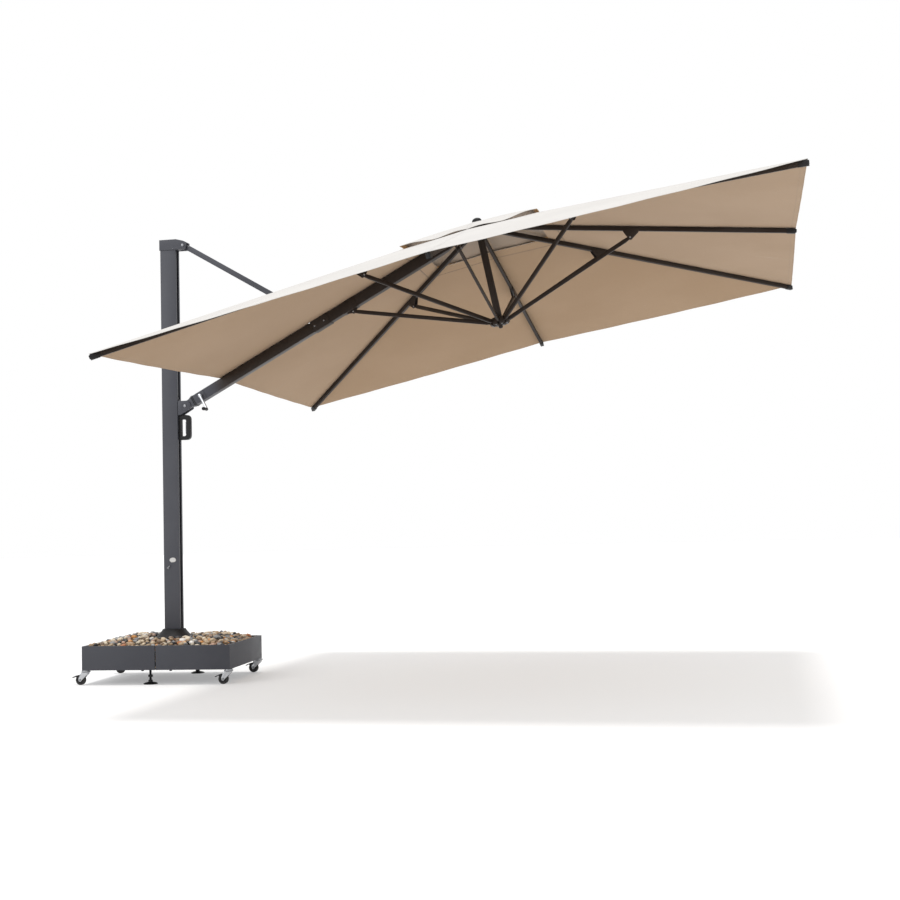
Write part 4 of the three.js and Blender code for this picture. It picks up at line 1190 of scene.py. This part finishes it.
class UMBRELLA_OT_slider(bpy.types.Operator):
    """Finish the sliding bracket and its lift handle"""

    bl_idname = "umbrella.slider"
    bl_label = "Slider and handle"

    def execute(self, context):
        dressed("slider_carriage", slate_coat(), "grey_aluminium", 1.8 * MM, 3)
        dressed("slider_pin", zinc(), "zinc_steel", 0.8 * MM)
        dressed("lift_handle", black_plastic(), "black_plastic", 4.5 * MM, 4)
        dressed("release_trigger", zinc(), "zinc_steel", 1.5 * MM, 3)
        self.grip_ribs()
        return {"FINISHED"}

    def grip_ribs(self):
        """Low ribs across the front of the handle, where the hand closes."""
        low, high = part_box("lift_handle")
        bars = []
        count, end_gap, half = 9, 38 * MM, 1.6 * MM
        for index in range(count):
            z = low.z + end_gap + index * (high.z - low.z - 2 * end_gap) / (count - 1)
            near = (high.x - 9 * MM, low.y + 2 * MM, z - half)
            far = (high.x + 1.1 * MM, high.y - 2 * MM, z + half)
            bar = block("rib", near, far)
            rounded(bar, 1.0 * MM)
            bars.append(bar)
        ribs = joined("handle_ribs", *bars)
        smooth(ribs)
        fitted(painted(ribs, black_plastic()), "slider", "black_plastic")


# ---- Boom and crank ----------------------------------------------------------

class UMBRELLA_OT_boom(bpy.types.Operator):
    """Finish the boom's tubes, knuckle, collar and bracket"""

    bl_idname = "umbrella.boom"
    bl_label = "Boom"

    def execute(self, context):
        dressed("boom_knuckle", slate_coat(), "grey_aluminium", 2.2 * MM, 3)
        # The lower tube's bronze beyond the slider is painted shade from the canopy.
        dressed("boom_lower_tube", lower_boom_painted_shade_coat(), "grey_aluminium", 2.2 * MM, 3)
        # The upper tube's dark bronze is painted shade: the tube has the lower tube's finish, darkened where
        # the canopy shades it.
        dressed("boom_upper_tube", bronze_and_painted_shade_coat(), "bronze_aluminium", 2.2 * MM, 3)
        dressed("boom_collar", bronze_and_painted_shade_coat(), "bronze_aluminium", 1.2 * MM)
        dressed("boom_end", bronze_and_painted_shade_coat(), "bronze_aluminium", 1.5 * MM)
        dressed("boom_bracket", bronze_and_painted_shade_coat(), "bronze_aluminium", 1.2 * MM)
        self.knuckle_bands()
        self.rivets()
        return {"FINISHED"}

    def knuckle_bands(self):
        """Two dark bands round the knuckle where it comes out of the bracket."""
        bands = []
        for start in (53 * MM, 61 * MM):
            band = block("band", (start, -27.4 * MM, -30.4 * MM), (start + 5.5 * MM, 27.4 * MM, 30.4 * MM))
            rounded(band, 1.6 * MM, segments=3)
            band.data.transform(BOOM)
            bands.append(band)
        bands = joined("knuckle_bands", *bands)
        smooth(bands)
        fitted(painted(bands, black_plastic()), "boom", "black_plastic")

    def rivets(self):
        """Rivets through the collar, and the ends of the strut's pin."""
        ear = BOOM.inverted() @ pivot("boom_pivot")
        collar_side, ear_side = 28.8 * MM, 13.8 * MM
        spots = [
            (ear.x - 18 * MM, collar_side, 0), (ear.x + 44 * MM, collar_side, 0), (ear.x, ear_side, ear.z),
        ]
        places = []
        for side in (-1, 1):
            for x, y, z in spots:
                places.append(aim(BOOM @ Vector((x, side * y, z)), (0, side, 0)))
        head = dome_head("rivet", 5 * MM, 2.4 * MM)
        smooth(head)
        fitted(painted(copies(head, "collar_rivets", places), zinc()), "boom", "zinc_steel")


class UMBRELLA_OT_crank(bpy.types.Operator):
    """Finish the crank, its knob and the cord's spool"""

    bl_idname = "umbrella.crank"
    bl_label = "Crank"

    def execute(self, context):
        dressed("crank_arm", chrome(), "chrome", 1.6 * MM, 3)
        dressed("cord_spool", black_plastic(), "black_plastic", 0.5 * MM)
        hinge = pivot("knob_spin")
        low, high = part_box("crank_knob")
        tall = high.y - low.y
        grip = [
            (7 * MM, 0), (9 * MM, 1.2 * MM), (10 * MM, 4 * MM), (9.2 * MM, 12 * MM), (8.8 * MM, tall * 0.5),
            (9.6 * MM, tall * 0.75), (10.4 * MM, tall - 7 * MM), (9.6 * MM, tall - 2.4 * MM), (6 * MM, tall),
        ]
        knob = turned("crank_knob_finished", grip, 36)
        knob.data.transform(aim((hinge.x, high.y, hinge.z), (0, -1, 0)))
        smooth(knob, 40)
        fitted(painted(knob, black_plastic()), "knob", "black_plastic", "crank_knob")
        escutcheon = turned("crank_plate", [
            (17 * MM, 0), (17 * MM, 2 * MM), (15.5 * MM, 3.2 * MM), (9 * MM, 3.6 * MM), (8 * MM, 6.5 * MM),
        ], 36)
        crank = pivot("crank_turn")
        escutcheon.data.transform(aim((crank.x, crank.y - 26 * MM, crank.z), (0, -1, 0)))
        smooth(escutcheon)
        fitted(painted(escutcheon, slate_coat()), "boom", "grey_aluminium")
        return {"FINISHED"}


# ---- Canopy frame ------------------------------------------------------------

class UMBRELLA_OT_hubs(bpy.types.Operator):
    """Finish the two hubs, the centre tube and the finial"""

    bl_idname = "umbrella.hubs"
    bl_label = "Hubs"

    def execute(self, context):
        dressed("top_hub", bronze_and_painted_shade_coat(), "bronze_aluminium", 1.0 * MM)
        dressed("lower_hub", bronze_and_painted_shade_coat(), "bronze_aluminium", 1.2 * MM)
        dressed("centre_tube", bronze_and_painted_shade_coat(), "bronze_aluminium", 0.6 * MM)
        foot = min((HUB_INVERSE @ v.co).z for v in NODES["finial"].data.vertices)
        top = max((HUB_INVERSE @ v.co).z for v in NODES["finial"].data.vertices)
        tall = top - foot
        profile = [
            (28 * MM, 0), (31 * MM, 1 * MM), (32 * MM, 4 * MM), (32 * MM, 9 * MM), (30.5 * MM, 11 * MM),
            (28 * MM, 12 * MM), (27 * MM, 14 * MM), (27.5 * MM, 16 * MM),
        ]
        for step in range(1, 8):
            angle = math.radians(step * 12)
            profile.append((27.5 * MM * math.cos(angle), 16 * MM + (tall - 16 * MM) * math.sin(angle)))
        finial = turned("finial_finished", profile, 48)
        finial.data.transform(HUB @ Matrix.Translation((0, 0, foot)))
        smooth(finial)
        fitted(painted(finial, black_plastic()), "hub", "black_plastic", "finial")
        self.lower_hub_trim()
        return {"FINISHED"}

    def lower_hub_trim(self):
        """A ring of screws round the lower hub, and its nut."""
        top = max((HUB_INVERSE @ v.co).z for v in NODES["lower_hub"].data.vertices)
        places = []
        for index in range(8):
            angle = (index + 0.5) * math.pi / 4
            spot = HUB @ Vector((44 * MM * math.cos(angle), 44 * MM * math.sin(angle), top - 41 * MM))
            places.append(aim(spot, -(HUB.to_3x3() @ Vector((0, 0, 1)))))
        head = dome_head("screw", 4 * MM, 2.4 * MM)
        smooth(head)
        fitted(painted(copies(head, "lower_hub_screws", places), zinc()), "lower_hub", "zinc_steel")


class UMBRELLA_OT_ribs(bpy.types.Operator):
    """Finish the ribs with their end caps, and the braces with their pins"""

    bl_idname = "umbrella.ribs"
    bl_label = "Ribs and braces"

    def execute(self, context):
        for index, name in enumerate(RIBS):
            dressed(f"brace_{name}", bronze_and_painted_shade_coat(), "bronze_aluminium", 1.0 * MM)
            if name != "boom":
                self.rib(index, name)
            self.bracket_pins(index, name)
        return {"FINISHED"}

    def rib(self, index, name):
        """The rib's tube, with a black cap over its tip."""
        place = rib_frame(index)
        rib = dressed(f"rib_{name}", bronze_and_painted_shade_coat(), "bronze_aluminium", 1.0 * MM)
        rib.data.materials.append(black_plastic())
        back = place.inverted()
        tip = max((back @ v.co).x for v in rib.data.vertices)
        sleeve = 47.5 * MM
        for face in rib.data.polygons:
            if (back @ face.center).x > tip - sleeve:
                face.material_index = 1
        nose = block("nose", (tip - 3 * MM, -9 * MM, -14.5 * MM), (tip + 7 * MM, 9 * MM, 11.5 * MM))
        with editing(nose):
            pick(nose, lambda middle, normal: normal.x > 0.9)
            bpy.ops.transform.resize(value=(1, 0.55, 0.6), center_override=(tip, 0, 3 * MM))
        rounded(nose, 2.5 * MM, segments=3)
        nose.data.transform(place)
        nose.name = f"rib_tip_{name}"
        smooth(nose)
        fitted(painted(nose, black_plastic()), f"rib_{name}", "black_plastic")

    def bracket_pins(self, index, name):
        """Pin heads on both cheeks of the bracket that carries a brace."""
        body = "boom" if name == "boom" else f"rib_{name}"
        spot = pivot("boom_brace_fold" if name == "boom" else f"brace_fold_{name}")
        across = rib_frame(index).to_3x3() @ Vector((0, 1, 0))
        half = 9.8 * MM if name == "boom" else 11.3 * MM
        places = [aim(spot + across * half * side, across * side) for side in (-1, 1)]
        head = dome_head("pin", 5.5 * MM, 2.6 * MM)
        smooth(head)
        pins = copies(head, f"bracket_pins_{name}", places)
        fitted(painted(pins, zinc()), body, "zinc_steel")


# ---- Canopy ------------------------------------------------------------------

class Panel:
    """The cloth that one rib carries: from its seam out to halfway to the ribs on each side."""

    SEAM = (0, 6.5 * MM, 8 * MM)

    def __init__(self, lines, index, columns, rows, sag, lift=None):
        self.lines = lines
        self.index = index
        self.rows = rows
        self.sag = sag
        self.lift = lift
        fields = [step / columns for step in range(1, columns + 1)]
        steps = [(width, 0) for width in self.SEAM[1:]] + [(self.SEAM[-1], share) for share in fields]
        self.across = [(-1, *s) for s in reversed(steps)] + [(1, 0, 0)] + [(1, *s) for s in steps]

    def point(self, side, seam, share, out):
        """A point of the cloth, and how far it is from the rib's seam."""
        count = len(self.lines)
        other = (self.index + side) % count
        here = self.lines[self.index][0].lerp(self.lines[self.index][1], out)
        there = self.lines[other][0].lerp(self.lines[other][1], out)
        width = (there - here).length
        corner = self.index % 2
        band = seam * (math.sqrt(2) if corner else 1)
        distance = band + (width / 2 - band) * share
        across = distance / width
        spot = here.lerp(there, across)
        spot.z -= self.sag * width * 4 * across * (1 - across)
        if self.lift:
            spot.z += self.lift(across if not corner else 1 - across, out)
        spot.z += self.pucker(distance, out)
        return spot, distance / (math.sqrt(2) if corner else 1)

    def pucker(self, distance, out):
        """Small gathers that a seam and a hem pull in the cloth, dying away from them."""
        run = out * HALF_SIDE
        wave = math.sin(run / 0.021 + 2.1 * math.sin(run / 0.13 + self.index * 1.7))
        near_seam = math.exp(-distance / 0.035) - math.exp(-distance / 0.006)
        tension = math.sin(distance / 0.05 + self.index) * math.exp(-((1 - out) * HALF_SIDE) / 0.12)
        return 0.9 * MM * wave * near_seam + 0.8 * MM * tension * min(1, distance / 0.05)

    def side_of(self, side):
        """Which of the four sides of the square the cloth on this side of the rib runs out to."""
        field = self.index if side > 0 else (self.index - 1) % 8
        return ((field + 1) // 2) % 4

    def build(self, name):
        """The panel as one open sheet, and how far each of its points is from the rib's seam."""
        points, distances = [], []
        for out in self.rows:
            for side, seam, share in self.across:
                spot, distance = self.point(side, seam, share, out)
                points.append(spot)
                distances.append(distance)
        width = len(self.across)
        faces = []
        for row in range(len(self.rows) - 1):
            for column in range(width - 1):
                a = row * width + column
                faces.append((a, a + width, a + width + 1, a + 1))
        mesh = bpy.data.meshes.new(name)
        mesh.from_pydata(points, [], faces)
        cut = mesh.uv_layers.new(name="cut")
        middle = width // 2
        for polygon in mesh.polygons:
            column = polygon.index % (width - 1)
            way = self.side_of(1 if column >= middle else -1)
            for corner in polygon.loop_indices:
                spot = points[mesh.loops[corner].vertex_index]
                x, y = spot.x, spot.y
                for _ in range(way):
                    x, y = y, -x
                cut.data[corner].uv = (y, x)
        mesh.attributes.new("from_rib", "FLOAT", "POINT").data.foreach_set("value", distances)
        piece = bpy.data.objects.new(name, mesh)
        bpy.context.scene.collection.objects.link(piece)
        return piece, distances


def row_shares(count, start, end, hem):
    """Shares from the inner edge to the hem, with close rows at the turned edges."""
    reach = end - start
    rows = [0, 2 * MM / reach, (hem - 1.5 * MM) / reach, hem / reach]
    last = 1 - hem / reach
    rows += [hem / reach + (last - hem / reach) * step / count for step in range(1, count + 1)]
    rows += [1 - (hem - 1.5 * MM) / reach, 1 - 2 * MM / reach, 1]
    return rows


def thickened(piece, distances, rows, width, reach, hem):
    """Gives the cloth its thickness, doubled at its hems and seams. Each row holds width points."""
    group = piece.vertex_groups.new(name="doubled")
    for index, distance in enumerate(distances):
        out = rows[index // width] * reach
        doubled = distance < 7.5 * MM or out > reach - hem + 1 * MM or out < hem - 1 * MM
        group.add([index], 1.0 if doubled else 0.0, "REPLACE")
    finished_by(
        piece, "SOLIDIFY", thickness=cloth().cloth, offset=1, vertex_group="doubled",
        thickness_vertex_group=0.62, use_even_offset=True, material_offset=1,
    )
    piece.vertex_groups.clear()


def hang(piece, index):
    """The panel rides on its rib and turns with it as the canopy folds."""
    name = RIBS[index]
    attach(piece, "boom" if name == "boom" else f"rib_{name}")
    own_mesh(piece)


class UMBRELLA_OT_canopy(bpy.types.Operator):
    """Sew the square canopy, one panel to each rib, with a slit for the strut"""

    bl_idname = "umbrella.canopy"
    bl_label = "Canopy"

    def execute(self, context):
        start, end = SHEET_LINES[0][0].x, SHEET_LINES[0][1].x
        hem = cloth().hem
        rows = row_shares(96, start, end, hem)
        for index, name in enumerate(RIBS):
            panel = Panel(SHEET_LINES, index, 22, rows, cloth().sag)
            piece, distances = panel.build(f"canopy_panel_{name}")
            painted(piece, ivory_canvas(), underside_painted_shade_canvas())
            thickened(piece, distances, rows, len(panel.across), end - start, hem)
            if name == "boom":
                self.cut_slit(piece)
            piece.data.transform(HUB)
            smooth(piece, 50)
            if name == "boom":
                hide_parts("canopy")
            hang(piece, index)
        return {"FINISHED"}

    def cut_slit(self, piece):
        """Cuts the slit over the boom that the strut comes through."""
        strut = HUB_INVERSE @ pivot("boom_pivot")
        half = Vector((44 * MM, 18.5 * MM, 200 * MM))
        middle = Vector((strut.x, 0, strut.z))
        tool = block("slit", middle - half, middle + half)
        finished_by(piece, "BOOLEAN", operation="DIFFERENCE", object=tool, solver="EXACT")
        bpy.data.objects.remove(tool)


def vent_lift(across, out):
    """The vent canopy's loose edge: it stands up by its corners and lies down between them."""
    drop, corner_rise, ripple = 31 * MM, 19 * MM, 5 * MM
    edge = max(0, out - 0.30) / 0.70
    wave = ripple * math.sin(across * 3 * math.pi)
    return (-drop + corner_rise * across ** 1.5 + wave) * edge ** 1.6


class UMBRELLA_OT_vent(bpy.types.Operator):
    """Sew the raised vent canopy over the opening"""

    bl_idname = "umbrella.vent"
    bl_label = "Vent canopy"

    def execute(self, context):
        start, end = VENT_LINES[0][0].x, VENT_LINES[0][1].x
        hem = 16 * MM
        rows = row_shares(30, start, end, hem)
        for index, name in enumerate(RIBS):
            panel = Panel(VENT_LINES, index, 12, rows, cloth().sag, vent_lift)
            piece, distances = panel.build(f"vent_panel_{name}")
            painted(piece, ivory_canvas(), vent_painted_glow_and_shade_canvas())
            thickened(piece, distances, rows, len(panel.across), end - start, hem)
            piece.data.transform(HUB)
            smooth(piece, 50)
            if name == "boom":
                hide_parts("vent_canopy")
            hang(piece, index)
        return {"FINISHED"}


# ---- Stage -------------------------------------------------------------------

class UMBRELLA_OT_stage(bpy.types.Operator):
    """Lay the studio floor and set the lights and the camera"""

    bl_idname = "umbrella.stage"
    bl_label = "Studio"

    def execute(self, context):
        self.floor()
        self.sky(context.scene)
        self.lights(context.scene.umbrella_stage.key)
        self.camera(context.scene)
        return {"FINISHED"}

    def floor(self):
        """A wide flat floor."""
        bpy.ops.object.select_all(action="DESELECT")
        bpy.ops.mesh.primitive_circle_add(vertices=96, radius=40, fill_type="NGON")
        floor = fresh("studio_floor")
        painted(floor, studio_floor())

    def sky(self, scene):
        """White to the camera, and an even soft light on everything else."""
        world = bpy.data.worlds.new("studio")
        scene.world = world
        world.use_nodes = True
        wires = Wiring(world.node_tree)
        background = world.node_tree.nodes["Background"]
        seen = wires.node("ShaderNodeLightPath").outputs["Is Camera Ray"]
        strength = scene.umbrella_stage.sky
        wires.feed(background.inputs["Color"], (1.0, 1.0, 1.0))
        wires.feed(background.inputs["Strength"], wires.span(seen, 0, 1, strength, 1.0, False))
        scene.view_settings.view_transform = "Standard"

    def lights(self, strength):
        for name, towards, spread, share, tint in (
            ("overhead_light", (-0.03, 0.03, 1.0), 9, 1.0, (1.0, 0.995, 0.985)),
            ("front_light", (-0.75, -1.0, 0.55), 28, 0.34, (0.96, 0.98, 1.0)),
        ):
            data = bpy.data.lights.new(name, "SUN")
            data.angle = math.radians(spread)
            data.energy = strength * share
            data.color = tint
            light = bpy.data.objects.new(name, data)
            light.location = Vector(towards) * 5
            light.rotation_euler = Vector(towards).to_track_quat("Z", "Y").to_euler()
            bpy.context.scene.collection.objects.link(light)

    def camera(self, scene):
        """Level with a seated eye, off the near side, looking slightly up."""
        eye = Vector((1.8196, -7.7220, 0.8687))
        yaw, pitch, roll = (math.radians(angle) for angle in (-12.401, 2.939, -1.292))
        data = bpy.data.cameras.new("camera")
        data.sensor_width = 36
        data.lens = 56.448
        ahead = Vector((math.sin(yaw) * math.cos(pitch), math.cos(yaw) * math.cos(pitch), math.sin(pitch)))
        level = Vector((math.cos(yaw), -math.sin(yaw), 0))
        upright = level.cross(ahead)
        right = level * math.cos(roll) + upright * math.sin(roll)
        up = upright * math.cos(roll) - level * math.sin(roll)
        camera = bpy.data.objects.new("camera", data)
        camera.matrix_world = basis(right, up, eye)
        scene.collection.objects.link(camera)
        scene.camera = camera


class UMBRELLA_PT_parts(bpy.types.Panel):
    """Buttons that finish each group of pieces"""

    bl_idname = "UMBRELLA_PT_parts"
    bl_label = "Umbrella"
    bl_space_type = "VIEW_3D"
    bl_region_type = "UI"
    bl_category = "Umbrella"

    def draw(self, context):
        for operator in OPERATORS:
            self.layout.operator(operator.bl_idname)
        for name, kind in SETTINGS.items():
            group = getattr(context.scene, name)
            box = self.layout.box()
            for value in kind.__annotations__:
                box.prop(group, value)


SETTINGS = {
    "umbrella_metal": MetalSettings,
    "umbrella_base": BaseSettings,
    "umbrella_canopy": CanopySettings,
    "umbrella_stage": StageSettings,
}
OPERATORS = (
    UMBRELLA_OT_trays, UMBRELLA_OT_pebbles, UMBRELLA_OT_casters, UMBRELLA_OT_feet, UMBRELLA_OT_mast,
    UMBRELLA_OT_slider, UMBRELLA_OT_boom, UMBRELLA_OT_crank, UMBRELLA_OT_hubs, UMBRELLA_OT_ribs,
    UMBRELLA_OT_canopy, UMBRELLA_OT_vent, UMBRELLA_OT_stage,
)


def register():
    for name, kind in SETTINGS.items():
        bpy.utils.register_class(kind)
        setattr(bpy.types.Scene, name, PointerProperty(type=kind))
    for kind in (*OPERATORS, UMBRELLA_PT_parts):
        bpy.utils.register_class(kind)


def unregister():
    for kind in reversed((*OPERATORS, UMBRELLA_PT_parts)):
        bpy.utils.unregister_class(kind)
    for name, kind in SETTINGS.items():
        delattr(bpy.types.Scene, name)
        bpy.utils.unregister_class(kind)


def main():
    register()
    for operator in OPERATORS:
        group, call = operator.bl_idname.split(".")
        getattr(getattr(bpy.ops, group), call)()


if __name__ == "__main__":
    main()
